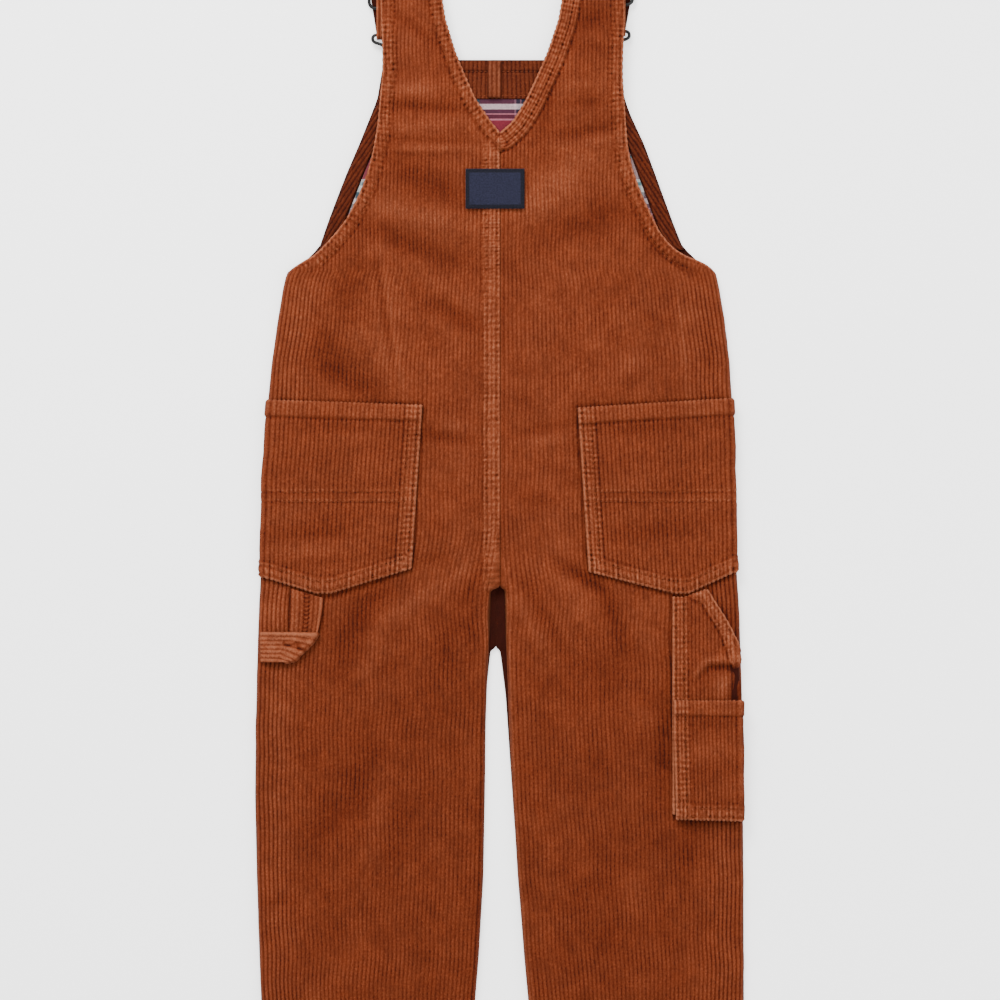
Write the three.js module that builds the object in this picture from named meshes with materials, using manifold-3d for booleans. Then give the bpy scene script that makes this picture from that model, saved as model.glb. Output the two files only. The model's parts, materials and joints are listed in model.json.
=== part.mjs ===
// Toddler overalls in wide-wale corduroy, laid flat on their front with the back uppermost.
// Units are millimetres and +Z is up. +Y runs from the hems to the shoulders, and -X is the wearer's
// left. Every cloth piece is a closed wall between an outer and an inner face, worked out from the
// section tables below. "up" is a height on the garment, measured from the hems along +Y.
import * as THREE from "three";
import { mergeVertices } from "three/addons/utils/BufferGeometryUtils.js";
import Module from "manifold-3d";

const wasm = await Module();
wasm.setup();

// Driving dimensions
const CLOTH = 2.0; // corduroy wall
const GAP = 0.3; // space left between two pieces at a seam
const RIM = CLOTH + GAP; // height of the back's side edges, which stand on the front
const SIDE_RADIUS = 5.0; // roundness of the folds at the side seams and inseams
const RIB_PITCH = 3.0; // from one cord of the corduroy to the next
const RIB_HEIGHT = 0.5;
const FELL_WIDTH = 12.0; // centre back seam, felled to the wearer's left
const FELL_HEIGHT = 0.8;
const WAIST_UP = 505; // seam between the bib and the front legs
const BIB_TOP = 721;
const POCKET_HEM = 11; // turned-in band at a pocket's mouth
const HEM_RISE = 0.6; // how much thicker that band is

// Back outline and height, one row for each section. left and right are the side edges, midLeft and
// midRight the edges of the two halves at the middle, top the height of the plain outer face over the
// floor, and sideTurn and midTurn say how far those edges are turned down, from 0 (free) to 1 (seam).
const BACK = [
  { up: 0, left: -160, midLeft: -22, midRight: 25, right: 166, top: 7.0, sideTurn: 1, midTurn: 1 },
  { up: 140, left: -165, midLeft: -12.6, midRight: 14.2, right: 166, top: 7.2, sideTurn: 1, midTurn: 1 },
  { up: 205, left: -167, midLeft: -11, midRight: 9, right: 165.5, top: 7.3, sideTurn: 1, midTurn: 1 },
  { up: 285, left: -166, midLeft: -9, midRight: 5.5, right: 165, top: 7.4, sideTurn: 1, midTurn: 1 },
  { up: 335, left: -165, midLeft: -6.5, midRight: 3.5, right: 163.5, top: 7.5, sideTurn: 1, midTurn: 1 },
  { up: 356, left: -164, midLeft: -6, midRight: 3, right: 162.5, top: 7.6, sideTurn: 1, midTurn: 0.6 },
  { up: 362, left: -163.5, midLeft: 0, midRight: 0, right: 162, top: 7.6, sideTurn: 1, midTurn: 0 },
  { up: 380, left: -163, midLeft: 0, midRight: 0, right: 161, top: 7.6, sideTurn: 1, midTurn: 0 },
  { up: 435, left: -161.5, midLeft: 0, midRight: 0, right: 160, top: 7.6, sideTurn: 1, midTurn: 0 },
  { up: 486, left: -158.5, midLeft: 0, midRight: 0, right: 158.5, top: 7.6, sideTurn: 1, midTurn: 0 },
  { up: 530, left: -153.5, midLeft: 0, midRight: 0, right: 155, top: 7.8, sideTurn: 1, midTurn: 0 },
  { up: 577, left: -145, midLeft: 0, midRight: 0, right: 147, top: 8.2, sideTurn: 1, midTurn: 0 },
  { up: 583, left: -136.5, midLeft: 0, midRight: 0, right: 140, top: 8.3, sideTurn: 0.7, midTurn: 0 },
  { up: 588, left: -127, midLeft: 0, midRight: 0, right: 126, top: 8.4, sideTurn: 0.4, midTurn: 0 },
  { up: 594, left: -120.5, midLeft: 0, midRight: 0, right: 117, top: 8.5, sideTurn: 0.2, midTurn: 0 },
  { up: 604, left: -111.5, midLeft: 0, midRight: 0, right: 108.8, top: 8.7, sideTurn: 0.05, midTurn: 0 },
  { up: 618, left: -101.5, midLeft: 0, midRight: 0, right: 101.5, top: 8.9, sideTurn: 0, midTurn: 0 },
  { up: 636, left: -93.2, midLeft: 0, midRight: 0, right: 93.8, top: 9.2, sideTurn: 0, midTurn: 0 },
  { up: 654, left: -87.8, midLeft: 0, midRight: 0, right: 88.2, top: 9.6, sideTurn: 0, midTurn: 0 },
  { up: 672, left: -84, midLeft: 0, midRight: 0, right: 86.3, top: 10.0, sideTurn: 0, midTurn: 0 },
  { up: 687, left: -82.4, midLeft: -11.5, midRight: 13.5, right: 85.2, top: 10.4, sideTurn: 0, midTurn: 0 },
  { up: 694, left: -81.8, midLeft: -16.3, midRight: 17.5, right: 84.6, top: 10.7, sideTurn: 0, midTurn: 0 },
  { up: 726, left: -80, midLeft: -30, midRight: 32, right: 83.8, top: 10.9, sideTurn: 0, midTurn: 0 },
  { up: 748, left: -81, midLeft: -36.7, midRight: 39.4, right: 85, top: 10.6, sideTurn: 0, midTurn: 0 },
  { up: 768, left: -81, midLeft: -40, midRight: 43, right: 84.6, top: 10.0, sideTurn: 0, midTurn: 0 },
  { up: 786, left: -80.3, midLeft: -42.2, midRight: 44.5, right: 83, top: 9.4, sideTurn: 0, midTurn: 0 },
];

// Front legs at the middle: the front crotch hangs lower than the back one.
const FRONT_LEGS = [
  { up: 0, midLeft: -23, midRight: 26 },
  { up: 140, midLeft: -13, midRight: 14.7 },
  { up: 205, midLeft: -11.5, midRight: 9.5 },
  { up: 289, midLeft: -9.5, midRight: 3.8 },
  { up: 318, midLeft: -7, midRight: 0 },
  { up: 322, midLeft: -3, midRight: -2.7 },
  { up: 380, midLeft: -3, midRight: -2.7 },
  { up: 435, midLeft: -3, midRight: -2.7 },
  { up: WAIST_UP, midLeft: -3, midRight: -2.7 },
];

// Bib: its side edges, and how high its outer face lies over the floor, lifted by the buckles.
const BIB = [
  { up: WAIST_UP + GAP, left: -156.4, right: 157, base: 0 },
  { up: 530, left: -153.5, right: 155, base: 0 },
  { up: 577, left: -145, right: 147, base: 0 },
  { up: 585, left: -132, right: 134, base: 0.3 },
  { up: 594, left: -123, right: 124.5, base: 0.8 },
  { up: 608, left: -118.2, right: 118.8, base: 1.5 },
  { up: 644, left: -104.4, right: 105.5, base: 3.0 },
  { up: 664, left: -95.7, right: 98, base: 3.8 },
  { up: 683, left: -88, right: 89, base: 4.5 },
  { up: 694, left: -83.6, right: 85, base: 4.8 },
  { up: BIB_TOP, left: -79, right: 80, base: 4.8 },
];

// Largest folds on the back: x and up are the middle, angle the run of the crease in degrees from +X.
const FOLDS = [
  { x: -69, up: 540, angle: 90, length: 34, width: 7, height: -1.2 },
  { x: -37, up: 303, angle: 64, length: 40, width: 12, height: 1.2 },
  { x: 31, up: 303, angle: -70, length: 40, width: 11, height: 1.1 },
  { x: 84, up: 335, angle: -60, length: 28, width: 10, height: -1.3 },
  { x: 104, up: 270, angle: 88, length: 55, width: 6, height: -1.1 },
  { x: -80, up: 235, angle: 72, length: 60, width: 16, height: -1.0 },
  { x: 60, up: 160, angle: 65, length: 60, width: 16, height: 0.9 },
  { x: -58, up: 606, angle: -6, length: 42, width: 10, height: 0.9 },
  { x: 48, up: 650, angle: 4, length: 32, width: 8, height: -0.8 },
];

// Straps past the fold over the shoulder
const STRAP = {
  shoulder: 786, // up, where the fold starts
  frontUp: 762, // up, where the front run has its full width
  frontWidth: 37,
  endWidth: 29.6, // where it goes round the buckle's bar
  returnEnd: 765, // up, where the sewn-back end stops at the slider's middle bar
};

// Wire hardware, drawn in one plane between the strap and the bib
const WIRE = 1.1; // radius
const WIRE_SIDES = 6;
const HARDWARE = [
  { side: -1, name: "left", x: -69.3, barUp: 738.5 },
  { side: 1, name: "right", x: 70.6, barUp: 741 },
];
const BUCKLE_HALF = [
  { x: 15.4, down: 0 },
  { x: 16.7, down: 0.7 },
  { x: 17.2, down: 2.1 },
  { x: 16.6, down: 3.6 },
  { x: 12.2, down: 8.2 },
  { x: 7.4, down: 12 },
  { x: 5.2, down: 15 },
  { x: 4.6, down: 19 },
  { x: 4.6, down: 29 },
  { x: 5.4, down: 32 },
  { x: 7.4, down: 35.5 },
  { x: 8.1, down: 38.6 },
  { x: 7.6, down: 41.8 },
  { x: 5.8, down: 44.6 },
  { x: 2.4, down: 46.4 },
];
const SLIDER = { width: 42, height: 23, corner: 4, aboveBar: 17 };
const BUTTON = { down: 31, radius: 8.5, head: 1.9, shank: 2.4 };

const RUST = 0x9a4a22;
const corduroy = (name) =>
  new THREE.MeshStandardMaterial({ name, color: RUST, roughness: 0.95, metalness: 0 });
const COLOURS = {
  corduroy: corduroy("corduroy"),
  facing: new THREE.MeshStandardMaterial({ name: "facing", color: 0x7a3216, roughness: 0.95 }),
  lining: new THREE.MeshStandardMaterial({ name: "lining", color: 0x7a2238, roughness: 0.9 }),
  patch: new THREE.MeshStandardMaterial({ name: "patch", color: 0x1d2440, roughness: 0.8 }),
  wire: new THREE.MeshStandardMaterial({ name: "wire", color: 0x1c1a18, roughness: 0.35, metalness: 0.9 }),
};

const clamp = (value, low, high) => Math.min(high, Math.max(low, value));
const radians = THREE.MathUtils.degToRad;
const range = (count) => Array.from({ length: count }, (_, i) => i);
const point = (x, y, z) => new THREE.Vector3(x, y, z);

// A table's row at any height, each column in a straight line between the rows that are given
function rowAt(table, up) {
  const last = table.length - 1;
  const after = clamp(table.findIndex((row) => row.up > up), 1, last);
  const next = up >= table[last].up ? last : after;
  const [a, b] = [table[next - 1], table[next]];
  const t = clamp((up - a.up) / (b.up - a.up), 0, 1);
  return Object.fromEntries(Object.keys(a).map((key) => [key, a[key] + t * (b[key] - a[key])]));
}

// One half's edges at a height: side is -1 for the wearer's left and 1 for the right.
function halfAt(side, up) {
  const row = rowAt(BACK, up);
  const [outer, inner] = side < 0 ? [row.left, row.midLeft] : [row.right, row.midRight];
  return { ...row, outer, inner: inner + (side * GAP) / 2 };
}

// How the ribs end at the middle. From the legs to the seat this changes evenly, so that the ribs have
// no jog at the crotch, where the inseam's edge steps in.
function ribEnd(side, up) {
  const [legs, seat] = [285, 435];
  if (up <= legs || up >= seat) return halfAt(side, up);
  const between = (key) => THREE.MathUtils.mapLinear(up, legs, seat, halfAt(side, legs)[key], halfAt(side, seat)[key]);
  return { inner: between("inner"), midTurn: between("midTurn") };
}

function foldHeight(x, up) {
  let height = 0;
  for (const fold of FOLDS) {
    const [c, s] = [Math.cos(radians(fold.angle)), Math.sin(radians(fold.angle))];
    const along = (x - fold.x) * c + (up - fold.up) * s;
    const across = (up - fold.up) * c - (x - fold.x) * s;
    height += fold.height * Math.exp(-((along / fold.length) ** 2) - (across / fold.width) ** 2);
  }
  return height;
}

// The felled seam is a raised band on the wearer's left of the middle, from the crotch to the V.
function fellHeight(x, up) {
  const inside = x < 0 && x > -FELL_WIDTH && up > 360 && up < 673;
  return inside ? FELL_HEIGHT : 0;
}

// A point on the back's outer face, moved out along the cloth's normal by lift. The face turns down
// round a quarter circle at each edge that is sewn to the front.
function onBack(side, x, up, lift) {
  const half = halfAt(side, up);
  const drop = half.top - RIM;
  const quarter = (distance, turn, outwards) => {
    const angle = Math.acos(1 - clamp(distance / SIDE_RADIUS, 0, 1));
    return { fall: turn * drop * (1 - Math.sin(angle)), tilt: outwards * turn * (Math.PI / 2 - angle) };
  };
  const atSide = quarter(side * (half.outer - x), half.sideTurn, side);
  const atMiddle = quarter(side * (x - half.inner), half.midTurn, -side);
  const edge = atSide.fall > atMiddle.fall ? atSide : atMiddle;
  const level = half.top - edge.fall;
  const flat = 1 - Math.abs(edge.tilt) / (Math.PI / 2);
  const z = level + flat * foldHeight(x, up) + (side < 0 ? fellHeight(x, up) : 0);
  return point(x + Math.sin(edge.tilt) * lift, up, z + Math.cos(edge.tilt) * lift);
}

const onFront = (x, up, lift) => point(x, up, rowAt(BIB, up).base + lift);

// How far in from a turned-down edge a point lies in plan, at a distance measured along the cloth
function planDistance(along, turn) {
  const arc = SIDE_RADIUS * (1 + turn * (Math.PI / 2 - 1));
  if (along >= arc) return SIDE_RADIUS + along - arc;
  const angle = (along / arc) * (Math.PI / 2);
  return turn * SIDE_RADIUS * (1 - Math.cos(angle)) + (1 - turn) * SIDE_RADIUS * (along / arc);
}

// Closes a wall between two grids of points, outer[row][column] and inner[row][column]. The grids have
// the same rows, and the inner one may have fewer columns.
function wall(outer, inner) {
  const positions = [];
  const triangle = (...corners) => corners.forEach((p) => positions.push(p.x, p.y, p.z));
  const quad = (a, b, c, d) => {
    triangle(a, b, c);
    triangle(a, c, d);
  };
  const face = (grid, flip) => {
    for (let j = 0; j + 1 < grid.length; j++)
      for (let i = 0; i + 1 < grid[j].length; i++) {
        const corners = [grid[j][i], grid[j][i + 1], grid[j + 1][i + 1], grid[j + 1][i]];
        quad(...(flip ? corners.reverse() : corners));
      }
  };
  face(outer, false);
  face(inner, true);
  const end = (row) => row[row.length - 1];
  for (let j = 0; j + 1 < outer.length; j++) {
    quad(outer[j][0], outer[j + 1][0], inner[j + 1][0], inner[j][0]);
    quad(end(outer[j + 1]), end(outer[j]), end(inner[j]), end(inner[j + 1]));
  }
  zip(inner[0], outer[0], triangle);
  zip(end(outer), end(inner), triangle);
  return closedGeometry(positions);
}

// Joins two lines of points that run side by side, with any number of points in each
function zip(low, high, triangle) {
  const shares = (line) => {
    const sums = [0];
    for (let i = 1; i < line.length; i++) sums.push(sums[i - 1] + line[i].distanceTo(line[i - 1]));
    return sums.map((s) => s / sums[sums.length - 1]);
  };
  const [lowShare, highShare] = [shares(low), shares(high)];
  let [i, j] = [0, 0];
  while (i + 1 < low.length || j + 1 < high.length) {
    const lowFirst = j + 1 === high.length || (i + 1 < low.length && lowShare[i + 1] <= highShare[j + 1]);
    if (lowFirst) triangle(low[i], low[++i], high[j]);
    else triangle(low[i], high[j + 1], high[j++]);
  }
}

// Merges shared corners, drops the triangles that have closed up, and turns the faces outwards
function closedGeometry(positions) {
  const loose = new THREE.BufferGeometry();
  loose.setAttribute("position", new THREE.Float32BufferAttribute(positions, 3));
  const merged = mergeVertices(loose, 1e-3);
  const index = [];
  for (let i = 0; i < merged.index.count; i += 3) {
    const [a, b, c] = [0, 1, 2].map((k) => merged.index.getX(i + k));
    if (a !== b && b !== c && c !== a) index.push(a, b, c);
  }
  const at = range(3).map(() => new THREE.Vector3());
  let volume = 0;
  for (let i = 0; i < index.length; i += 3) {
    at.forEach((v, k) => v.fromBufferAttribute(merged.attributes.position, index[i + k]));
    volume += at[0].dot(at[1].clone().cross(at[2]));
  }
  merged.setIndex(volume < 0 ? index.reverse() : index);
  merged.computeVertexNormals();
  return merged;
}

function piece(name, geometry, material) {
  const mesh = new THREE.Mesh(geometry, material);
  mesh.name = name;
  return mesh;
}

// Columns of one back half. They keep an even spacing along the cloth up to the armhole, and above it
// they run straight up until the outline cuts them.
function backHalf(side) {
  const ARMHOLE_UP = 577;
  const ribs = Math.round(150 / RIB_PITCH);
  const count = 2 * ribs;
  const plainColumn = (i) => i % 8 === 0 || (i % 2 === 0 && (i < 8 || i > count - 8));
  const xAt = (share, up) => {
    const half = halfAt(side, Math.min(up, ARMHOLE_UP));
    if (share === 1) return half.inner;
    const end = ribEnd(side, Math.min(up, ARMHOLE_UP));
    const arc = (turn) => SIDE_RADIUS * (1 + turn * (Math.PI / 2 - 1));
    const flat = Math.abs(half.outer - end.inner) - 2 * SIDE_RADIUS;
    const length = arc(half.sideTurn) + flat + arc(end.midTurn);
    const along = share * length;
    if (along <= length / 2) return half.outer - side * planDistance(along, half.sideTurn);
    return end.inner + side * planDistance(length - along, end.midTurn);
  };
  const rib = (i, x, half) => {
    const fromEdge = Math.min(Math.abs(x - half.outer), Math.abs(x - half.inner));
    return i % 2 ? RIB_HEIGHT * clamp(fromEdge / 2, 0, 1) : 0;
  };
  const columns = range(count + 1);
  const outer = [];
  const inner = [];
  for (const { up } of BACK) {
    const half = halfAt(side, up);
    const [low, high] = [half.outer, half.inner].sort((a, b) => a - b);
    const xs = columns.map((i) => clamp(xAt(i / count, up), low, high));
    outer.push(columns.map((i) => onBack(side, xs[i], up, rib(i, xs[i], half))));
    inner.push(columns.filter(plainColumn).map((i) => onBack(side, xs[i], up, -CLOTH)));
  }
  const shoulder = halfAt(side, STRAP.shoulder);
  const shoulderMiddle = (shoulder.outer + shoulder.inner) / 2;
  const shoulderWidth = Math.abs(shoulder.outer - shoulder.inner);
  const [low, high] = [shoulder.outer, shoulder.inner].sort((a, b) => a - b);
  for (const step of strapPath(shoulder, HARDWARE.find((h) => h.side === side))) {
    const place = (i, ribShare, depth) => {
      const x = clamp(xAt(i / count, STRAP.shoulder), low, high);
      const lift = ribShare * rib(i, x, shoulder) - depth;
      const across = step.x + ((x - shoulderMiddle) * step.width) / shoulderWidth;
      return point(across, step.up + Math.sin(step.tilt) * lift, step.z + Math.cos(step.tilt) * lift);
    };
    outer.push(columns.map((i) => place(i, Math.max(0, Math.cos(step.tilt)), 0)));
    inner.push(columns.filter(plainColumn).map((i) => place(i, 0, CLOTH)));
  }
  return wall(outer, inner);
}

// The strap's outer face past the shoulder: over the fold, down the front to the buckle's bar, round
// the bar and back up to the slider. tilt turns from 0 (facing up) through PI (down) to 2 PI.
function strapPath(shoulder, hardware) {
  const steps = [];
  const middle = (shoulder.outer + shoulder.inner) / 2;
  const width = Math.abs(shoulder.outer - shoulder.inner);
  const radius = shoulder.top / 2;
  for (const turn of [0.25, 0.5, 0.75, 1]) {
    const tilt = turn * Math.PI;
    const x = THREE.MathUtils.lerp(middle, hardware.x, turn * 0.3);
    steps.push({ x, width, tilt, up: STRAP.shoulder + radius * Math.sin(tilt), z: radius + radius * Math.cos(tilt) });
  }
  steps.push({ x: hardware.x, width: STRAP.frontWidth, tilt: Math.PI, up: STRAP.frontUp, z: 0 });
  const loop = WIRE + GAP + CLOTH;
  for (const turn of [0, 0.25, 0.5, 0.75, 1]) {
    const tilt = Math.PI * (1 + turn);
    const up = hardware.barUp + loop * Math.sin(tilt);
    steps.push({ x: hardware.x, width: STRAP.endWidth, tilt, up, z: loop + loop * Math.cos(tilt) });
  }
  steps.push({ x: hardware.x, width: STRAP.endWidth, tilt: 2 * Math.PI, up: STRAP.returnEnd, z: 2 * loop });
  return steps;
}

// Front legs: flat below, with the lower edge rounded, and standing under the back's side edges
function frontHalf(side) {
  const EDGE = 1.5;
  const rows = FRONT_LEGS.map((row) => {
    const outer = side < 0 ? rowAt(BACK, row.up).left : rowAt(BACK, row.up).right;
    const inner = side < 0 ? row.midLeft : row.midRight;
    return { up: row.up, outer, inner, width: Math.abs(outer - inner) };
  });
  const below = rows.map((row) => {
    const inwards = [0, 0.45, EDGE, 20, 45, 70, 95, 120].map((d) => Math.min(d, row.width / 2 + 40));
    return [...inwards, row.width - EDGE, row.width - 0.45, row.width].map((d) => {
      const fromEdge = Math.min(d, row.width - d, EDGE);
      const z = EDGE - Math.sqrt(EDGE ** 2 - (EDGE - fromEdge) ** 2);
      return point(row.outer - side * d, row.up, z);
    });
  });
  const above = rows.map((row, j) => below[j].map((p) => point(p.x, row.up, CLOTH)));
  return wall(above, below);
}

function bib() {
  const COLUMNS = 8;
  const face = (lift) =>
    BIB.map((row) =>
      range(COLUMNS + 1).map((i) => onFront(THREE.MathUtils.lerp(row.left, row.right, i / COLUMNS), row.up, lift)),
    );
  return wall(face(CLOTH), face(0));
}

// A flat piece on the bib's inner face, between two lines x(up), at some heights
function onBib(ups, leftOf, rightOf, from, thickness, columns = 2) {
  const face = (lift) =>
    ups.map((up) =>
      range(columns + 1).map((i) => onFront(THREE.MathUtils.lerp(leftOf(up), rightOf(up), i / columns), up, lift)),
    );
  return wall(face(from + thickness), face(from));
}

const FACING = { thickness: 1.2, sideWidth: 11, topDepth: 26.5, inset: 0.6 };
const FACING_LIFT = CLOTH + GAP;
const LINING = { thickness: 1.0, bottom: 520 };

function facings() {
  const { thickness, sideWidth, topDepth, inset } = FACING;
  const topLow = BIB_TOP - topDepth;
  const left = (up) => rowAt(BIB, up).left + inset;
  const right = (up) => rowAt(BIB, up).right - inset;
  const sideUps = [592, 608, 644, 664, 683, topLow - GAP];
  const liningUps = [LINING.bottom, 530, 577, 585, ...sideUps];
  const reach = (up) => (up < 580 ? 8 : sideWidth) + GAP;
  return [
    piece("facing_top", onBib([topLow, BIB_TOP - inset], left, right, FACING_LIFT, thickness, 4), COLOURS.facing),
    piece("facing_left", onBib(sideUps, left, (up) => left(up) + sideWidth, FACING_LIFT, thickness), COLOURS.facing),
    piece("facing_right", onBib(sideUps, (up) => right(up) - sideWidth, right, FACING_LIFT, thickness), COLOURS.facing),
    piece("facing_tab",
      onBib([topLow + 0.5, BIB_TOP - 1], () => -8.5, () => 1, FACING_LIFT + thickness + GAP, 1), COLOURS.facing),
    piece("bib_lining",
      onBib(liningUps, (up) => left(up) + reach(up), (up) => right(up) - reach(up), FACING_LIFT, LINING.thickness, 6),
      COLOURS.lining),
  ];
}

// A patch pocket on one back half. inner is its edge towards the middle, endTurn how far round the
// side fold it reaches, in degrees up from the seam, and bottomAt and topAt its ends at a share of its
// width, from 0 at the middle edge to 1 at the side.
function patchPocket({ side, inner, endTurn, bottomAt, topAt, lift, rows, hem = 0, ribPitch = RIB_PITCH }) {
  const arc = (SIDE_RADIUS * Math.PI) / 2;
  const middleUp = (bottomAt(0.5) + topAt(0.5)) / 2;
  const outerAlong = SIDE_RADIUS * radians(endTurn);
  const innerAlong = (up) => Math.abs(halfAt(side, up).outer - inner(up)) - SIDE_RADIUS + arc;
  const ribs = Math.round((innerAlong(middleUp) - outerAlong) / ribPitch);
  const count = 2 * ribs;
  const place = (i, t, raise) => {
    const share = i / count;
    const up = THREE.MathUtils.lerp(bottomAt(share), topAt(share), t);
    const along = THREE.MathUtils.lerp(innerAlong(up), outerAlong, share);
    return onBack(side, halfAt(side, up).outer - side * planDistance(along, 1), up, raise);
  };
  const columns = range(count + 1);
  const plain = columns.filter((i) => i % 8 === 0 || (i > count - 8));
  const hemShare = hem ? 1 - POCKET_HEM / (topAt(0.5) - bottomAt(0.5)) : 2;
  const thick = (t) => lift + CLOTH + (t >= hemShare ? HEM_RISE : 0);
  const rib = (i) => (i % 2 ? RIB_HEIGHT : 0);
  const shares = hem ? [...rows, hemShare - 0.004, hemShare, 1] : [...rows, 1];
  return wall(
    shares.map((t) => columns.map((i) => place(i, t, thick(t) + rib(i)))),
    shares.map((t) => plain.map((i) => place(i, t, lift))),
  );
}

const ON_RIBS = RIB_HEIGHT + GAP; // how far a patch's inner face stays off the plain outer face
const BACK_POCKETS = {
  left: { top: 486.3, topSide: 489.9, corner: 375, tip: 356.3, tipShare: 0.58, bottomSide: 369.5 },
  right: { top: 484.4, topSide: 490.9, corner: 372.8, tip: 356.5, tipShare: 0.62, bottomSide: 373 },
};

function backPocket(side) {
  const p = side < 0 ? BACK_POCKETS.left : BACK_POCKETS.right;
  const lerp = THREE.MathUtils.lerp;
  return patchPocket({
    side,
    inner: (up) => side * lerp(60, 52.6, (up - p.corner) / (p.top - p.corner)),
    endTurn: 40,
    bottomAt: (s) => (s < p.tipShare ? lerp(p.corner, p.tip, s / p.tipShare)
      : lerp(p.tip, p.bottomSide, (s - p.tipShare) / (1 - p.tipShare))),
    topAt: (s) => lerp(p.top, p.topSide, s),
    lift: ON_RIBS,
    rows: [0, 0.45],
    hem: 1,
  });
}

// The tool pocket's mouth: its height at shares of its width. It starts just under the back pocket's
// point and falls in a curve to the side seam.
const TOOL_MOUTH = [[0, 355.9], [0.18, 355.7], [0.52, 361], [0.57, 360.4], [0.64, 354.6], [0.81, 342.2], [0.92, 333], [1, 322]];
const TOOL_POCKET = { inner: 117.5, bottom: 208 };
const SMALL_POCKET = { inner: 118.5, bottom: 204.5, top: 285.5 };

function toolPockets() {
  const [tool, small] = [TOOL_POCKET, SMALL_POCKET];
  const mouth = (s) => {
    const k = TOOL_MOUTH.findIndex(([share]) => share >= s);
    if (k <= 0) return TOOL_MOUTH[0][1];
    const [[s0, up0], [s1, up1]] = [TOOL_MOUTH[k - 1], TOOL_MOUTH[k]];
    return THREE.MathUtils.lerp(up0, up1, (s - s0) / (s1 - s0));
  };
  const toolPatch = patchPocket({
    side: 1,
    inner: () => tool.inner,
    endTurn: 50,
    bottomAt: () => tool.bottom,
    topAt: mouth,
    lift: ON_RIBS,
    rows: [0, 0.5],
  });
  const smallPatch = patchPocket({
    side: 1,
    inner: () => small.inner,
    endTurn: 58,
    bottomAt: () => small.bottom,
    topAt: () => small.top,
    lift: ON_RIBS + CLOTH + ON_RIBS,
    rows: [0],
    hem: 1,
  });
  return [
    piece("tool_pocket", toolPatch, COLOURS.corduroy),
    piece("small_pocket", smallPatch, COLOURS.corduroy),
  ];
}

// Hammer loop on the left leg: a strip that hangs from the back pocket, folds over on a diagonal and
// runs out to the side seam. Its rows are lines across the strip.
function hammerLoop() {
  const [inLeft, inRight] = [-144.5, -121.5];
  const [bandLow, bandHigh] = [311.5, 332];
  const ACROSS = 4;
  const under = ON_RIBS;
  const over = under + CLOTH + GAP;
  const row = (start, end, lift, out = 0) =>
    range(ACROSS + 1).map((i) => {
      const [x, up] = [0, 1].map((k) => THREE.MathUtils.lerp(start[k], end[k], i / ACROSS));
      const OUTWARDS = [0.68, -0.73];
      return onBack(-1, x + out * OUTWARDS[0], up + out * OUTWARDS[1], lift);
    });
  const fold = [[inLeft, bandLow], [inRight, bandHigh]];
  const bandAt = (along) => {
    const x = halfAt(-1, bandLow).outer + planDistance(along, 1);
    return [[x, bandLow], [x, bandHigh]];
  };
  const hang = [[inLeft, 361.5], [inRight, 355]];
  const middle = [[inLeft, 337], [inRight, 343]];
  const bandStops = [14, 8, 6.2, 4.6].map(bandAt);
  const inside = [
    row(...hang, under + CLOTH), row(...middle, under + CLOTH), row(...fold, under + CLOTH),
    row(...fold, (under + CLOTH + over) / 2, 0.1),
    row(...fold, over), ...bandStops.map((stop) => row(...stop, over)),
  ];
  const outside = [
    row(...hang, under), row(...middle, under), row(...fold, under, 0),
    row(...fold, (under + CLOTH + over) / 2, CLOTH),
    row(...fold, over + CLOTH), ...bandStops.map((stop) => row(...stop, over + CLOTH)),
  ];
  return wall(outside, inside);
}

// A small blank woven patch over the centre back seam
const PATCH = { x: -3.4, up: 633, width: 40, height: 27, thickness: 1.0, lift: 1.7 };

function backPatch() {
  const face = (lift) =>
    range(4).map((j) => {
      const up = PATCH.up + PATCH.height * (j / 3 - 0.5);
      return range(5).map((i) => {
        const x = PATCH.x + PATCH.width * (i / 4 - 0.5);
        return point(x, up, rowAt(BACK, up).top + foldHeight(x, up) + lift);
      });
    });
  return wall(face(PATCH.lift + PATCH.thickness), face(PATCH.lift));
}

// A ring of wire along a closed flat line, mitred at each of its corners
function wireRing(corners) {
  const positions = [];
  const steps = corners.length;
  const ring = corners.map((centre, i) => {
    const before = corners[(i + steps - 1) % steps];
    const after = corners[(i + 1) % steps];
    const incoming = centre.clone().sub(before).normalize();
    const along = after.clone().sub(centre).normalize().add(incoming).normalize();
    const outwards = point(along.y, -along.x, 0).divideScalar(along.dot(incoming));
    return range(WIRE_SIDES).map((k) => {
      const angle = (2 * Math.PI * k) / WIRE_SIDES;
      return centre.clone().addScaledVector(outwards, WIRE * Math.cos(angle)).add(point(0, 0, WIRE * Math.sin(angle)));
    });
  });
  for (let i = 0; i < steps; i++)
    for (let k = 0; k < WIRE_SIDES; k++) {
      const [next, beside] = [(i + 1) % steps, (k + 1) % WIRE_SIDES];
      const [a, b, c, d] = [ring[i][k], ring[next][k], ring[next][beside], ring[i][beside]];
      for (const p of [a, b, c, a, c, d]) positions.push(p.x, p.y, p.z);
    }
  return closedGeometry(positions);
}

function buckle() {
  const right = BUCKLE_HALF.map((p) => point(p.x, -p.down, 0));
  const left = right.map((p) => point(-p.x, p.y, 0)).reverse();
  return wireRing([...right, ...left]);
}

const toSolid = (geometry) => {
  const merged = mergeVertices(new THREE.BufferGeometry().copy(geometry).deleteAttribute("normal").deleteAttribute("uv"), 1e-4);
  return new wasm.Manifold(
    new wasm.Mesh({
      numProp: 3,
      vertProperties: merged.attributes.position.array,
      triVerts: new Uint32Array(merged.index.array),
    }),
  );
};

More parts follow.
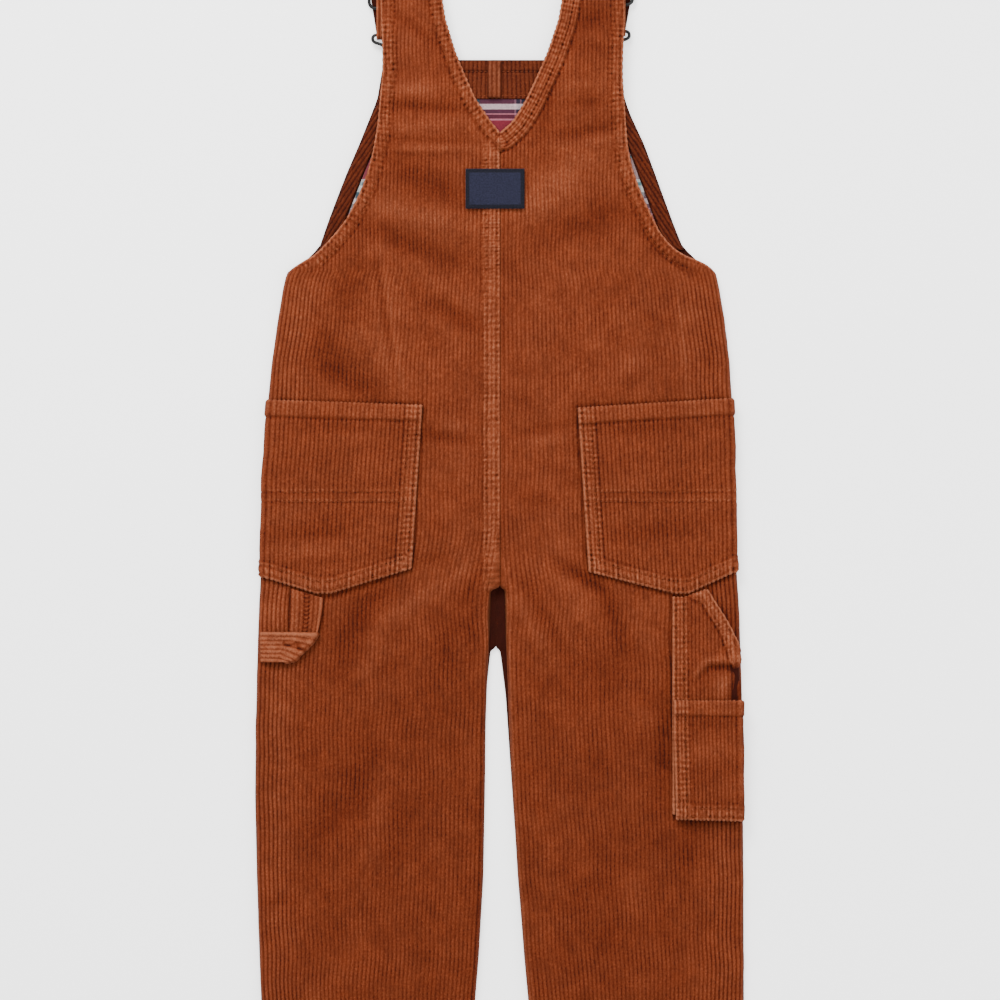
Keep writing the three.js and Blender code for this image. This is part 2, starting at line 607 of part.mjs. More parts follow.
function fromSolid(solid) {
  const mesh = solid.getMesh();
  const positions = [];
  for (const v of mesh.triVerts) positions.push(...mesh.vertProperties.slice(v * mesh.numProp, v * mesh.numProp + 3));
  return closedGeometry(positions);
}

// Slider: a rounded frame with one bar across its middle
function slider() {
  const { width, height, corner } = SLIDER;
  const [w, h] = [width / 2 - WIRE, height / 2 - WIRE];
  const shape = [];
  for (const [sx, sy, start] of [[1, 1, 0], [-1, 1, 90], [-1, -1, 180], [1, -1, 270]])
    for (const step of [0, 45, 90]) {
      const angle = radians(start + step);
      shape.push(point(sx * (w - corner) + corner * Math.cos(angle), sy * (h - corner) + corner * Math.sin(angle), 0));
    }
  const frame = wireRing(shape);
  const bar = new THREE.CylinderGeometry(WIRE * 0.9, WIRE * 0.9, 2 * w, WIRE_SIDES).rotateZ(Math.PI / 2);
  return fromSolid(toSolid(frame).add(toSolid(bar)));
}

// Bib button: a round head on the outside of the bib, with a shank that the buckle closes round
function button() {
  const { radius, head, shank } = BUTTON;
  const height = 2 * (WIRE + GAP) + 1.7;
  const profile = [[0, 0], [radius - 0.9, 0], [radius, 0.8], [radius - 0.6, head], [shank, head], [shank, height], [0, height]];
  const geometry = new THREE.LatheGeometry(profile.map(([x, y]) => new THREE.Vector2(x, y)), 16);
  return closedGeometry([...geometry.rotateX(Math.PI / 2).toNonIndexed().attributes.position.array]);
}

function hardwareGroup({ name, x, barUp }) {
  const group = new THREE.Group();
  const plane = CLOTH + GAP + WIRE; // height of the wire's middle line
  const hook = piece(`buckle_${name}`, buckle(), COLOURS.wire);
  hook.position.set(0, 0, plane);
  const adjuster = piece(`slider_${name}`, slider(), COLOURS.wire);
  adjuster.position.set(0, SLIDER.aboveBar + SLIDER.height / 2, plane);
  const stud = piece(`button_${name}`, button(), COLOURS.wire);
  stud.position.set(0, -BUTTON.down, 0);
  group.add(hook, adjuster, stud);
  group.position.set(x, barUp, 0);
  return group;
}

const overalls = new THREE.Group();
overalls.add(
  piece("back_left", backHalf(-1), COLOURS.corduroy),
  piece("back_right", backHalf(1), COLOURS.corduroy),
  piece("front_left", frontHalf(-1), COLOURS.corduroy),
  piece("front_right", frontHalf(1), COLOURS.corduroy),
  piece("bib", bib(), COLOURS.corduroy),
  ...facings(),
  piece("back_pocket_left", backPocket(-1), COLOURS.corduroy),
  piece("back_pocket_right", backPocket(1), COLOURS.corduroy),
  ...toolPockets(),
  piece("hammer_loop", hammerLoop(), COLOURS.corduroy),
  piece("back_patch", backPatch(), COLOURS.patch),
  ...HARDWARE.map(hardwareGroup),
);

// The origin is on the floor, under the middle of the garment.
const box = new THREE.Box3().setFromObject(overalls, true);
const middle = box.getCenter(new THREE.Vector3());
overalls.position.set(-middle.x, -middle.y, -box.min.z);
overalls.updateMatrixWorld(true);

export default overalls;
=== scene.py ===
# %% [markdown]
# # Toddler overalls in rust corduroy, laid flat on their front
#
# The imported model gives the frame: every piece below sits where its CAD solid sits, in metres.
# The garment lies back up, so +Z faces the camera, +Y runs from the hems to the shoulders and -X is
# the wearer's left. Lengths are worked out in millimetres, as a pattern cutter would, and "up" is a
# height on the garment measured from the hems.

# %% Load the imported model
import json
import math
from collections import namedtuple

import bpy
import numpy as np
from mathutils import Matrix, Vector

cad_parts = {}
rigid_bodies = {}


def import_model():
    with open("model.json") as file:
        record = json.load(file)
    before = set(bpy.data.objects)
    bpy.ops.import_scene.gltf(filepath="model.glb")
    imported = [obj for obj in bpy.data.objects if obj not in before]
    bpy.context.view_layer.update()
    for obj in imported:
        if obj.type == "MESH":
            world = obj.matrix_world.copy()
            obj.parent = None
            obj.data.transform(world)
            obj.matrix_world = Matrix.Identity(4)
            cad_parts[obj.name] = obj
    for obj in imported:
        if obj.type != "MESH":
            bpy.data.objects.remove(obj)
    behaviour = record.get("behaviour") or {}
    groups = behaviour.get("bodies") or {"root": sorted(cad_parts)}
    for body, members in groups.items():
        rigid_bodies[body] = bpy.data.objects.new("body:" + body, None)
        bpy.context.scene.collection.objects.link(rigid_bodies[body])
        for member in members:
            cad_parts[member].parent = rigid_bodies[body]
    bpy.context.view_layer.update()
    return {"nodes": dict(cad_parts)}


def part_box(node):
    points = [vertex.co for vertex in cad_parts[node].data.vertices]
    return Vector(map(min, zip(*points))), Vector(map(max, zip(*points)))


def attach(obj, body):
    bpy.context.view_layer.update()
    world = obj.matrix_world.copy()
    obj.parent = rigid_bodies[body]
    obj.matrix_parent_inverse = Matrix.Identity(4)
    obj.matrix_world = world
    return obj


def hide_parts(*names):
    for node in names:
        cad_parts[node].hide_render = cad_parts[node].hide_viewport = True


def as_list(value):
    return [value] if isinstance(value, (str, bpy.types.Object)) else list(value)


# Blender opens with a cube, a lamp and a camera of its own, which go first.
for thing in list(bpy.data.objects):
    bpy.data.objects.remove(thing)

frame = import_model()
MM = 0.001

# The hems lie on the lower edge of the CAD model and the centre seam is half a gap left of back_right.
GAP = 0.3
HEM_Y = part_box("front_left")[0].y / MM
SEAM_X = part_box("back_right")[0].x / MM - GAP / 2
print(f"hems at y = {HEM_Y:.2f} mm, centre back seam at x = {SEAM_X:.2f} mm")

# %% [markdown]
# ## Soft shapes
#
# Cloth has no sharp steps. Its outline is read from tables with rounded corners, and its relief is a
# sum of a few soft shapes: a hump at some place, a step, an even blend and an uneven swell.


# %% Tables, humps, steps and swells
def table(columns, rows):
    """A dictionary with one array for each column of a table."""
    return dict(zip(columns, np.array(rows, float).T))


def read(rows, key, up, blur=1.6):
    """A column's value at any height, with its corners rounded over a few millimetres."""
    up = np.asarray(up, float)
    taps = [(-1.5, 0.15), (-0.75, 0.2), (0, 0.3), (0.75, 0.2), (1.5, 0.15)]
    return sum(w * np.interp(up + t * blur, rows["up"], rows[key]) for t, w in taps)


def hump(value, at, width):
    """A soft hump that is 1 where the value is at its place and fades over a width."""
    return np.exp(-(((value - at) / width) ** 2))


def step_down(value, edge, soft):
    """1 below the edge and 0 above it, with a soft change."""
    return 0.5 - 0.5 * np.tanh((value - edge) / soft)


def step_up(value, edge, soft):
    """0 below the edge and 1 above it."""
    return step_down(-value, -edge, soft)


def smooth_step(value, low, high):
    """0 up to low and 1 from high on, and smooth between them."""
    t = np.clip((value - low) / (high - low), 0, 1)
    return t * t * (3 - 2 * t)


def mix(a, b, t):
    return a + (b - a) * t


def ripple(x, up, size, seed):
    """A soft uneven swell between -1 and 1, made of a few crossing waves."""
    rng = np.random.default_rng(seed)
    total = np.zeros(np.broadcast(x, up).shape)
    for _ in range(5):
        angle, phase = rng.uniform(0, 2 * math.pi, 2)
        wave = size * rng.uniform(0.7, 1.5)
        total += np.sin(2 * math.pi * (x * math.cos(angle) + up * math.sin(angle)) / wave + phase)
    return total / 5


# %% [markdown]
# ## The pattern
#
# The back is cut in two halves, each in one with its strap. The table gives the finished outline of
# both, one row for each height: left and right are the side edges, mid_left and mid_right the edges at
# the middle, and top is how high the plain cloth lies over the floor. side_turn and mid_turn say how
# far an edge is turned down, from 0 for a free hem to 1 for a seam with the front.

# %% Outline of the back
CLOTH = 2.0
SIDES = {-1: "left", 1: "right"}
# A turned-down edge ends just above the front, so that no light shows through the seam.
RIM_GAP = 0.05
RIM = CLOTH + RIM_GAP
SIDE_RADIUS = 5.0

BACK = table(("up", "left", "mid_left", "mid_right", "right", "top", "side_turn", "mid_turn"), [
    (0, -160, -22, 25, 166, 7.0, 1, 1),
    (60, -162, -18.5, 21, 166.4, 7.1, 1, 1),
    (110, -164, -14.4, 16.4, 166.2, 7.2, 1, 1),
    (165, -165.8, -11.2, 12, 166, 7.3, 1, 1),
    (220, -167, -10.2, 8.6, 165.6, 7.3, 1, 1),
    (270, -166.4, -9.6, 6, 165.2, 7.4, 1, 1),
    (300, -165.8, -8.5, 5, 164.6, 7.4, 1, 1),
    (330, -165, -6.8, 3.6, 163.6, 7.5, 1, 1),
    (356, -164, -6, 3, 162.6, 7.6, 1, 1),
    (360.4, -163.6, -6, 3, 162.2, 7.6, 1, 0.8),
    (362, -163.5, 0, 0, 162, 7.6, 1, 0),
    (380, -163, 0, 0, 161, 7.6, 1, 0),
    (435, -161.5, 0, 0, 160, 7.6, 1, 0),
    (486, -158.5, 0, 0, 158.5, 7.6, 1, 0),
    (517, -155.4, 0, 0, 156.2, 7.7, 1, 0),
    (545, -151.3, 0, 0, 153, 7.9, 1, 0),
    (565, -147.8, 0, 0, 149.6, 8.1, 1, 0),
    (577, -145, 0, 0, 147, 8.2, 1, 0),
    (583, -136.5, 0, 0, 140, 8.3, 0.7, 0),
    (588, -127, 0, 0, 126, 8.4, 0.4, 0),
    (594, -120.5, 0, 0, 117, 8.5, 0.2, 0),
    (604, -111.5, 0, 0, 108.8, 8.7, 0.05, 0),
    (613, -104.5, 0, 0, 104.4, 8.8, 0, 0),
    (624, -98.6, 0, 0, 99.0, 9.0, 0, 0),
    (636, -93.2, 0, 0, 94.0, 9.2, 0, 0),
    (648, -89.3, 0, 0, 90.0, 9.5, 0, 0),
    (660, -86.4, 0, 0, 87.4, 9.8, 0, 0),
    (672, -84.2, 0, 0, 86.3, 10.0, 0, 0),
    (678, -83.4, -5.4, 7.6, 85.8, 10.2, 0, 0),
    (686, -82.5, -10.8, 12.9, 85.2, 10.4, 0, 0),
    (694, -81.8, -16.3, 17.5, 84.6, 10.7, 0, 0),
    (710, -80.2, -23.4, 25, 83.6, 10.8, 0, 0),
    (726, -80, -30, 32, 83.8, 10.9, 0, 0),
    (748, -81, -36.7, 39.4, 85, 10.6, 0, 0),
    (768, -81, -40, 43, 84.6, 10.0, 0, 0),
    (786, -80.3, -42.2, 44.5, 83, 9.4, 0, 0),
])
CROTCH_UP, HIP_UP, ARMHOLE_UP, V_UP, SHOULDER_UP = 362, 435, 577, 672, 786


def nicks(up, pitch, seed):
    """A free edge isn't a clean cut: every wale that ends there makes a small bump."""
    up = np.asarray(up, float)
    uneven_pitch = up / pitch + 0.25 * np.sin(up / 7.0 + seed)
    return 0.75 * (np.abs(np.sin(math.pi * uneven_pitch)) - 0.6)


def half_at(side, up):
    """The edges, height and turn of one back half; side is -1 for the wearer's left."""
    outer, inner = ("left", "mid_left") if side < 0 else ("right", "mid_right")
    up = np.asarray(up, float)
    free = up < SHOULDER_UP - 2
    arm = nicks(up, 4.2, 1) * ((up > ARMHOLE_UP + 8) & free)
    neck = nicks(up, 3.3, 2) * ((up > V_UP + 2) & free)
    wave = 0.5 * ripple(0 * up, up, 31, 8 + side) * ((up > 6) & (up < ARMHOLE_UP - 2))
    gap = np.where((up > CROTCH_UP - 1) & (up < V_UP), 0.01, GAP / 2)
    return {
        "outer": read(BACK, outer, up) + side * (0.6 * arm - 0.2 + wave),
        "inner": read(BACK, inner, up, 0.8) + side * (gap - neck),
        "top": read(BACK, "top", up, 6),
        "side_turn": read(BACK, "side_turn", up),
        "mid_turn": read(BACK, "mid_turn", up),
    }


hips = np.interp(HIP_UP, BACK["up"], BACK["right"] - BACK["left"])
print(f"back: {np.ptp(BACK['up']):.0f} mm to the shoulder, {hips:.0f} mm across the hips")

# %% [markdown]
# ## Folds
#
# Cloth that has been worn and put down is never level. Each fold is one row: where its middle is, the run
# of its crease in degrees from +X, how long and wide it is, and how high it stands, or how deep it sinks
# where the height is negative. They are the creases that the photograph shows.

# %% Folds, one by one
FOLDS = [
    # Columns: x, up, angle, half length, half width, height.
    # Left strap and shoulder blade: the cloth is drawn from the armhole towards the patch.
    (-58, 740, -39, 20, 4.5, -0.9),
    (-57, 699, 2, 16, 5.5, 1.5),
    (-49, 687, -4, 28, 4.5, -1.3),
    (-52, 674, 3, 24, 4, 0.7),
    (-50, 665, -2, 30, 2.4, -0.6),
    (-48, 659, 0, 30, 2.4, 0.7),
    (-50, 635, -30, 36, 11, -1.4),
    (-57, 614, -14, 42, 8, 1.3),
    (-56, 591, -21, 40, 7.5, -1.3),
    (-33, 547, -31, 27, 7, -1.0),
    (-30, 560, -30, 22, 6, 0.5),
    # Left side: the edges of the front pocket's bag are pressed through.
    (-73.5, 542, -80.6, 48, 2.0, 0.9),
    (-78, 542, -80.6, 46, 2.4, -0.7),
    (-84, 545, -82, 44, 2.0, 0.5),
    (-102, 569, 82, 26, 11, -0.8),
    (-112, 545, 80, 20, 9, -0.4),
    (-92, 588, 10, 12, 6, 0.6),
    (-110, 513, -40, 33, 11, -1.2),
    (-106, 500, -24, 25, 8, -0.9),
    (-88, 522, -38, 26, 8, 0.7),
    # Right strap and shoulder blade.
    (62, 747, 30, 14, 9, -1.3),
    (66, 728, 0, 14, 4, -0.5),
    (33, 690, 78, 22, 4, -1.2),
    (58, 702, 0, 16, 4, 0.5),
    (58, 690, 3, 18, 4, -0.7),
    (58, 671, 8, 24, 4.5, -1.1),
    (66, 664, 8, 14, 4, 0.5),
    (43, 638, 36, 44, 13, 1.0),
    (26, 618, 40, 26, 12, 0.5),
    (70, 612, 20, 24, 10, -1.0),
    (48, 600, 24, 30, 10, -0.5),
    (22, 604, 10, 22, 7, -0.5),
    (115, 586, -38, 25, 4.5, -1.4),
    # Right side.
    (84, 565, 45, 18, 6, -0.5),
    (124, 531, -84, 44, 2.2, 0.9),
    (142, 523, -85, 28, 6, -1.1),
    (84, 508, 40, 16, 5, 0.5),
    (93, 500, 40, 14, 5, -0.4),
    # Seat and back pockets.
    (-36, 462, -8, 20, 4.5, -0.8),
    (-36, 471, -6, 18, 4, 0.4),
    (30, 469, 10, 20, 4.5, -0.7),
    (30, 460, 8, 18, 4, 0.5),
    (-25, 425, 5, 18, 5, -0.4),
    (28, 420, -5, 18, 5, -0.4),
    (-100, 469, -2, 26, 5, -0.6),
    (96, 469, 4, 30, 5, -0.8),
    (-120, 397, 3, 30, 5.5, -0.8),
    (-120, 385, 3, 28, 5, 0.6),
    (102, 397, 0, 32, 9, -0.7),
    # Left leg, from the crotch down.
    (-48, 380, 20, 14, 4, -0.7),
    (-21, 358, 65, 16, 4, -0.9),
    (-19, 328, 88, 34, 4, -0.8),
    (-28, 369, 52, 20, 3.2, 0.5),
    (-60, 348, 37, 28, 7, 1.1),
    (-92, 346, 62, 28, 10, -1.4),
    (-78, 357, 20, 16, 6, -0.6),
    (-104, 318, 70, 20, 10, -0.6),
    (-88, 312, 74, 26, 8, 0.8),
    (-77, 305, 41, 22, 6, -0.6),
    (-34, 316, 70, 26, 12, -0.8),
    (-100, 224, 54, 38, 18, -0.8),
    (-118, 196, 60, 22, 10, -0.3),
    (-85, 198, 80, 50, 8, 0.8),
    (-71, 184, 88, 36, 7, -0.6),
    (-150, 240, 88, 110, 12, 0.6),
    (-147, 148, 5, 13, 3.5, -0.7),
    (-147, 155, 5, 12, 3, 0.4),
    (-120, 90, 50, 40, 12, 0.5),
    # Right leg.
    (4.5, 371, -74, 14, 1.4, 0.6),
    (21, 334, -58, 30, 4, 0.8),
    (33, 336, -60, 28, 4.5, -0.9),
    (52, 348, -60, 20, 7, 0.8),
    (58, 366, -34, 17, 4.5, -1.6),
    (76, 343, -70, 17, 5.5, -1.5),
    (80, 312, 85, 20, 8, -0.8),
    (100, 330, -72, 22, 8, 0.6),
    (77, 286, -10, 22, 8, -0.5),
    (100, 272, -40, 15, 5, 0.8),
    (111.5, 257, 88, 36, 5, -1.3),
    (110, 263, -38, 8, 2, -0.6),
    (110, 240, -32, 8, 2, -0.6),
    (75, 127, 50, 18, 9, -0.7),
    (60, 150, 30, 20, 10, -0.4),
    (90, 150, 60, 26, 8, 0.4),
    (127, 181, 88, 24, 6, -1.0),
    (40, 200, 80, 40, 8, 0.4),
    (130, 60, 85, 50, 10, 0.4),
    # Small pocket.
    (141, 268, 2, 18, 4.5, -0.9),
    (141, 250, 2, 20, 7, 0.5),
]


def fold_height(x, up):
    """How high the folds stand at a point, in millimetres."""
    height = np.zeros(np.broadcast(x, up).shape)
    for fx, fup, angle, length, width, tall in FOLDS:
        c, s = math.cos(math.radians(angle)), math.sin(math.radians(angle))
        along = (x - fx) * c + (up - fup) * s
        across = (up - fup) * c - (x - fx) * s
        height += tall * np.exp(-((along / length) ** 2) - (across / width) ** 2)
    return height


print(f"{len(FOLDS)} folds, the deepest {min(f[-1] for f in FOLDS)} mm")

# %% [markdown]
# ## Hems and stitching lines
#
# An armhole or neck edge is turned in and stitched twice, so along it the cloth is double, its cords
# are pressed flatter, and each row of thread pulls a shallow groove with small puckers across it. To
# give the same finish to any edge, a band is kept as a line of points with the distances at which the
# thread runs. Every point of the cloth then asks how far it is from that line.


# %% Distance from a line
def distance_to(x, up, line):
    """For each point, its distance from a line of points, and how far along the line it is."""
    line = np.asarray(line, float)
    x, up = np.broadcast_arrays(x, up)
    best = np.full(x.shape, 1e9)
    along = np.zeros(x.shape)
    run = 0.0
    for (ax, ay), (bx, by) in zip(line[:-1], line[1:]):
        length = math.hypot(bx - ax, by - ay)
        if length < 1e-6:
            continue
        t = np.clip(((x - ax) * (bx - ax) + (up - ay) * (by - ay)) / length**2, 0, 1)
        away = np.hypot(x - ax - t * (bx - ax), up - ay - t * (by - ay))
        closer = away < best
        best = np.where(closer, away, best)
        along = np.where(closer, run + t * length, along)
        run += length
    return best, along


# The pitch of a row of stitches, and of the puckers that it pulls.
STITCH = 3.1


def patchy(mean, swing, swell, low, high):
    """A strength that comes and goes with a swell."""
    return np.clip(mean + swing * swell, low, high)


def hem_relief(away, along, x, up, width, rows, rise, seed, rung=3.6, edge=True, groove=0.3):
    """Height, strength and tone of a stitched hem, from how far a point is from its edge and how far along
    it. Tone is painted light and shade on the pile: a painted highlight on the puckers and on the rolled
    edge, painted shade between the puckers, along the rows of thread and in the groove beyond the hem, and
    the band a little lighter. The puckers across the hem stand a rung apart."""
    inside = step_down(away, width, 0.45)
    wander = 1.8 * ripple(x, up, 26, seed)
    strong = patchy(0.75, 0.8, ripple(x, up, 11, seed + 70), 0.1, 1.6)
    turns = 2 * math.pi * along / rung
    rungs = (np.sin(turns + wander) + 0.4 * np.sin(2.3 * turns - wander)) * strong
    nubs = ripple(1.3 * x, up, 3.6, seed + 90)
    reach = step_down(away, width + 1.2, 1.0)
    pull = patchy(0.75, 0.9, ripple(x, up, 7, seed + 50), 0.1, 1.5)
    pit = (0.5 + 0.5 * np.cos(2 * math.pi * along / STITCH + 0.5 * wander)) * pull
    height = rise * inside + (0.42 * rungs + 0.25 * nubs) * reach
    tone_and_painted_light = 0.34 * inside + (0.4 * rungs + 0.45 * nubs) * reach
    for row in rows:
        line = hump(away, row, 0.8)
        height -= line * (0.3 + 0.75 * pit)
        tone_and_painted_light -= line * (0.15 + 1.0 * pit)
    fall_off = hump(away, width + 0.9, 0.8)
    height -= groove * fall_off
    tone_and_painted_light -= (groove + 0.1) * fall_off
    if edge:
        roll = np.clip(1 - away / 1.4, 0, 1)
        height -= 1.0 * (1 - np.sqrt(np.clip(1 - roll**2, 0, 1)))
        tone_and_painted_light += 1.2 * hump(away, 0.5, 0.8)
    return height, inside, tone_and_painted_light


def band_relief(x, up, line, *hem, **more):
    """The same for a hem that runs along a line of points."""
    away, along = distance_to(x, up, line)
    return hem_relief(away, along, x, up, *hem, **more)


def outline(key, low, high, step=4.0):
    """One edge of the back as a line of points between two heights."""
    ups = np.append(np.arange(low, high, step), high)
    return np.column_stack([read(BACK, key, ups, 0.8), ups])


HEM_WIDTH = 8.8
HEM_ROWS = (2.4, 7.6)
FELL_WIDTH = 11.4
FELL_ROWS = (1.8, 9.4)
LINES = {
    "armhole_left": outline("left", ARMHOLE_UP + 3, SHOULDER_UP),
    "armhole_right": outline("right", ARMHOLE_UP + 3, SHOULDER_UP),
    "neck_left": outline("mid_left", V_UP, SHOULDER_UP),
    "neck_right": outline("mid_right", V_UP, SHOULDER_UP),
    "fell": np.array([(0.0, CROTCH_UP - 1), (0.0, V_UP)]),
}
for name, line in LINES.items():
    print(f"{name}: {np.hypot(*np.diff(line, axis=0).T).sum():.0f} mm")

# Where a pocket or the loop is sewn on, its edge presses the cloth beside it into a shallow dip, and the
# cloth along it is painted dark: a painted contact shadow, with some crushed pile.
MOUTH = [
    (136.0, 362.0), (142.0, 361.3), (145.8, 354.6), (153.5, 342.2), (158.9, 333.0), (162.8, 321.4),
    (165.4, 313),
]
PRESSED = {
    -1: [
        [(-150, 489), (-52.6, 486.4), (-59.9, 375), (-112.9, 357), (-120.4, 356.5), (-163, 369.5)],
        [(-120, 356), (-121.2, 342), (-123.6, 331.8), (-131.4, 321.6), (-137.2, 316), (-146.9, 311.4),
         (-163, 311.4)],
        [(-142.8, 333), (-142.8, 362)],
    ],
    1: [
        [(150, 490), (52.6, 485), (59.9, 372.8), (118, 357), (130, 357), (160.5, 373)],
        [(117, 355), (117, 286), (119.4, 204.6), (166, 203.2)],
        MOUTH,
    ],
}


def pressed(side, x, up):
    """How strongly a point lies beside an edge that is sewn on: 0 is not at all."""
    mark = np.zeros(np.broadcast(x, up).shape)
    for line in PRESSED[side]:
        away, _ = distance_to(x, up, line)
        mark = np.maximum(mark, hump(away, 0, 1.7))
    return mark * patchy(0.8, 0.6, ripple(x, up, 13, 61), 0.2, 1.3)


# %% [markdown]
# ## The back's face
#
# Corduroy is a pile cloth whose pile stands in cords, called wales, that run up the garment. A bump in
# the material would stay flat at the edges and in grazing light, so each wale is real geometry: four
# columns of points to a wale, with a round crest and a narrow valley. The wales keep their spacing
# along the cloth, so they turn down with it at the side seams.

# %% Cloth face of the back
WALE = 2.96
WALE_HEIGHT = 0.62
PER_WALE = 4
# Under 1 makes a cord's crest broad and its valley narrow.
WALE_ROUNDNESS = 0.75


def arc_length(turn):
    """How much cloth the bend of an edge takes up that is turned down by a share, from 0 to 1."""
    return SIDE_RADIUS * (1 + turn * (math.pi / 2 - 1))


def plan_distance(along, turn):
    """How far in from a turned-down edge a point is, seen from above, from its distance along it."""
    arc = arc_length(turn)
    share = np.clip(along / arc, 0, 1)
    near = SIDE_RADIUS * mix(share, 1 - np.cos(share * math.pi / 2), turn)
    return np.where(along >= arc, SIDE_RADIUS + along - arc, near)


def turned_down(distance, turn, outwards, drop):
    """Fall and tilt of the cloth at a distance from an edge that is turned down."""
    angle = np.arccos(1 - np.clip(distance / SIDE_RADIUS, 0, 1))
    return turn * drop * (1 - np.sin(angle)), outwards * turn * (math.pi / 2 - angle)


NECK_BAND = 12.6
NECK_ROWS = (2.6, 8.4)
NECK_WALE = 2.1
FOLD_LIFT = 0.75


def fold_painted_light(x, up):
    """Painted light and shade on the folds: light on a ridge and on the side below a trough, which faces
    the light above the shoulders, and painted shade in a trough and on the side that faces the hems.
    """
    slope = fold_height(x, up + 1.5) - fold_height(x, up - 1.5)
    return 0.36 * fold_height(x, up) - 0.32 * slope


def inseam_tone(side, x, up):
    """An inseam's edge catches light, but the left one lies in shade below the crotch."""
    from_inseam = side * (x - half_at(side, up)["inner"])
    light = 0.55 if side > 0 else 0.5 - 0.9 * step_down(up, 300, 20)
    return light * hump(from_inseam, 2.4, 1.6) * step_down(up, CROTCH_UP - 6, 3)


def mouth_shade(x, up):
    """The leg is in shade behind the open mouth of the tool pocket."""
    mouth_x = np.interp(up, [313, 333, 361], [165.4, 158.9, 142.0])
    return 0.3 * step_up(x, mouth_x, 1.5) * step_down(up, 372, 3) * step_up(up, 308, 4)


def back_hems(side, x, up):
    """The hems of the armhole and the neck. The neck's is wider on the right, and cut on its own."""
    width, groove = (HEM_WIDTH, 0.3) if side < 0 else (NECK_BAND, 0.8)
    arm_line, neck_line = LINES[f"armhole_{SIDES[side]}"], LINES[f"neck_{SIDES[side]}"]
    arm, arm_in, arm_tone = band_relief(x, up, arm_line, HEM_WIDTH, HEM_ROWS, 0.7, 11)
    neck, neck_in, neck_tone = band_relief(x, up, neck_line, width, NECK_ROWS, 0.7, 12, groove=groove)
    above = step_up(up, ARMHOLE_UP + 2, 2)
    near_neck = step_up(up, V_UP - 16, 2)
    inside = np.maximum(arm_in * above, neck_in * near_neck)
    return arm * above + neck * near_neck, inside, arm_tone * above + neck_tone * near_neck


def centre_seam(side, x, up):
    """The felled seam lies on the left half. The right half only shows the edge that it leaves. Both carry
    a painted highlight along the edges of the seam and of the fell, the right half a little painted shade
    just inside its edge, and the left half a short light streak below the V.
    """
    seat = step_up(up, CROTCH_UP - 2, 0.5) * step_down(up, V_UP - 8, 2)
    if side > 0:
        edge_tone = 0.6 * hump(x, 0.2, 0.6) - 0.25 * hump(x, 1.8, 1.0)
        return -0.15 * hump(x, 0, 2.0) * seat, 0 * seat, edge_tone * seat
    fell, inside, tone_and_painted_light = band_relief(x, up, LINES["fell"], FELL_WIDTH, FELL_ROWS, 0.8, 13, 2.3, False)
    tone_and_painted_light += 0.2 * inside + 0.45 * hump(x, -0.9, 0.8) + 0.3 * hump(x, 0.6 - FELL_WIDTH, 0.7)
    light_streak_below_v = 0.9 * hump(x, -1.7, 0.7) * step_down(np.abs(up - 652), 6, 1)
    return fell * seat, inside * seat, tone_and_painted_light * seat + light_streak_below_v


def back_relief(side, x, up):
    """All the low relief of a back half but its wales, how strongly it is stitched, and its tone."""
    beside = pressed(side, x, up)
    height = FOLD_LIFT * fold_height(x, up) + 0.3 * ripple(x, up, 70, 3) + 0.14 * ripple(x, up, 18, 4)
    height -= 0.4 * beside
    tone_and_painted_light = fold_painted_light(x, up) + 0.12 * ripple(x, up, 60, 5) + 0.16 * ripple(x, up * 1.6, 24, 6)
    # The legs below the crotch are a little darker, and the cloth beside a sewn-on edge gets a painted
    # contact shadow.
    tone_and_painted_light -= 0.04 + 0.24 * step_down(up, 330, 40) + 0.9 * beside
    tone_and_painted_light += inseam_tone(side, x, up)
    if side > 0:
        tone_and_painted_light -= mouth_shade(x, up)
    band = np.zeros(height.shape)
    for rise, inside, light in (back_hems(side, x, up), centre_seam(side, x, up)):
        height += rise
        tone_and_painted_light += light
        band = np.maximum(band, inside)
    # The knot of cloth below the V, where the hems of the neck meet the seam. It stands up, with a painted
    # highlight on it and a ring of painted shadow round it.
    knot = np.abs(x - 0.3) / 4.4 + np.abs(up - 664) / 6.0
    height += 0.5 * step_down(knot, 1.0, 0.12)
    tone_and_painted_light += 0.5 * step_down(knot, 0.9, 0.1) - 0.8 * hump(knot, 1.12, 0.14)
    return height, band, tone_and_painted_light


def along_neck(side, x, up, wale):
    """Right of the neck the hem's cords run along its edge instead of up the garment."""
    if side < 0:
        return wale
    away, _ = distance_to(x, up, LINES["neck_right"])
    inside = (away < NECK_BAND) & (up > V_UP - 12)
    return np.where(inside, away / NECK_WALE, wale)


def on_back(side, x, up, lift, relief=True):
    """Points on a back half's outer face, moved out along the cloth's normal by lift."""
    half = half_at(side, up)
    drop = half["top"] - RIM
    side_fall, side_tilt = turned_down(side * (half["outer"] - x), half["side_turn"], side, drop)
    mid_fall, mid_tilt = turned_down(side * (x - half["inner"]), half["mid_turn"], -side, drop)
    fall = np.maximum(side_fall, mid_fall)
    tilt = np.where(side_fall > mid_fall, side_tilt, mid_tilt)
    flat = 1 - np.abs(tilt) / (math.pi / 2)
    z = half["top"] - fall
    if relief:
        z = z + flat * back_relief(side, x, up)[0]
    return np.stack([x + np.sin(tilt) * lift, up + 0 * x, z + np.cos(tilt) * lift], axis=-1)


LEGS_UP, SEAT_UP = 330.0, 420.0


def rib_end(side, up):
    """How the wales end at the middle. It changes evenly from the legs to the seat, so that they
    have no jog at the crotch, where the inseam's edge steps in."""
    here = half_at(side, up)
    t = smooth_step(up, LEGS_UP, SEAT_UP)
    between = (up > LEGS_UP) & (up < SEAT_UP)
    even = mix(half_at(side, LEGS_UP)["inner"], half_at(side, SEAT_UP)["inner"], t)
    return np.where(between, even, here["inner"]), np.where(between, 1 - t, here["mid_turn"])


def crotch_spread(side, x, up):
    """The curved seam pushes the wales outwards just above the crotch, and lets them back below."""
    away = np.abs(x) / 24
    return side * 4.2 * away * np.exp(1 - away) * (hump(up, 352, 27) - 0.25 * hump(up, 410, 24))


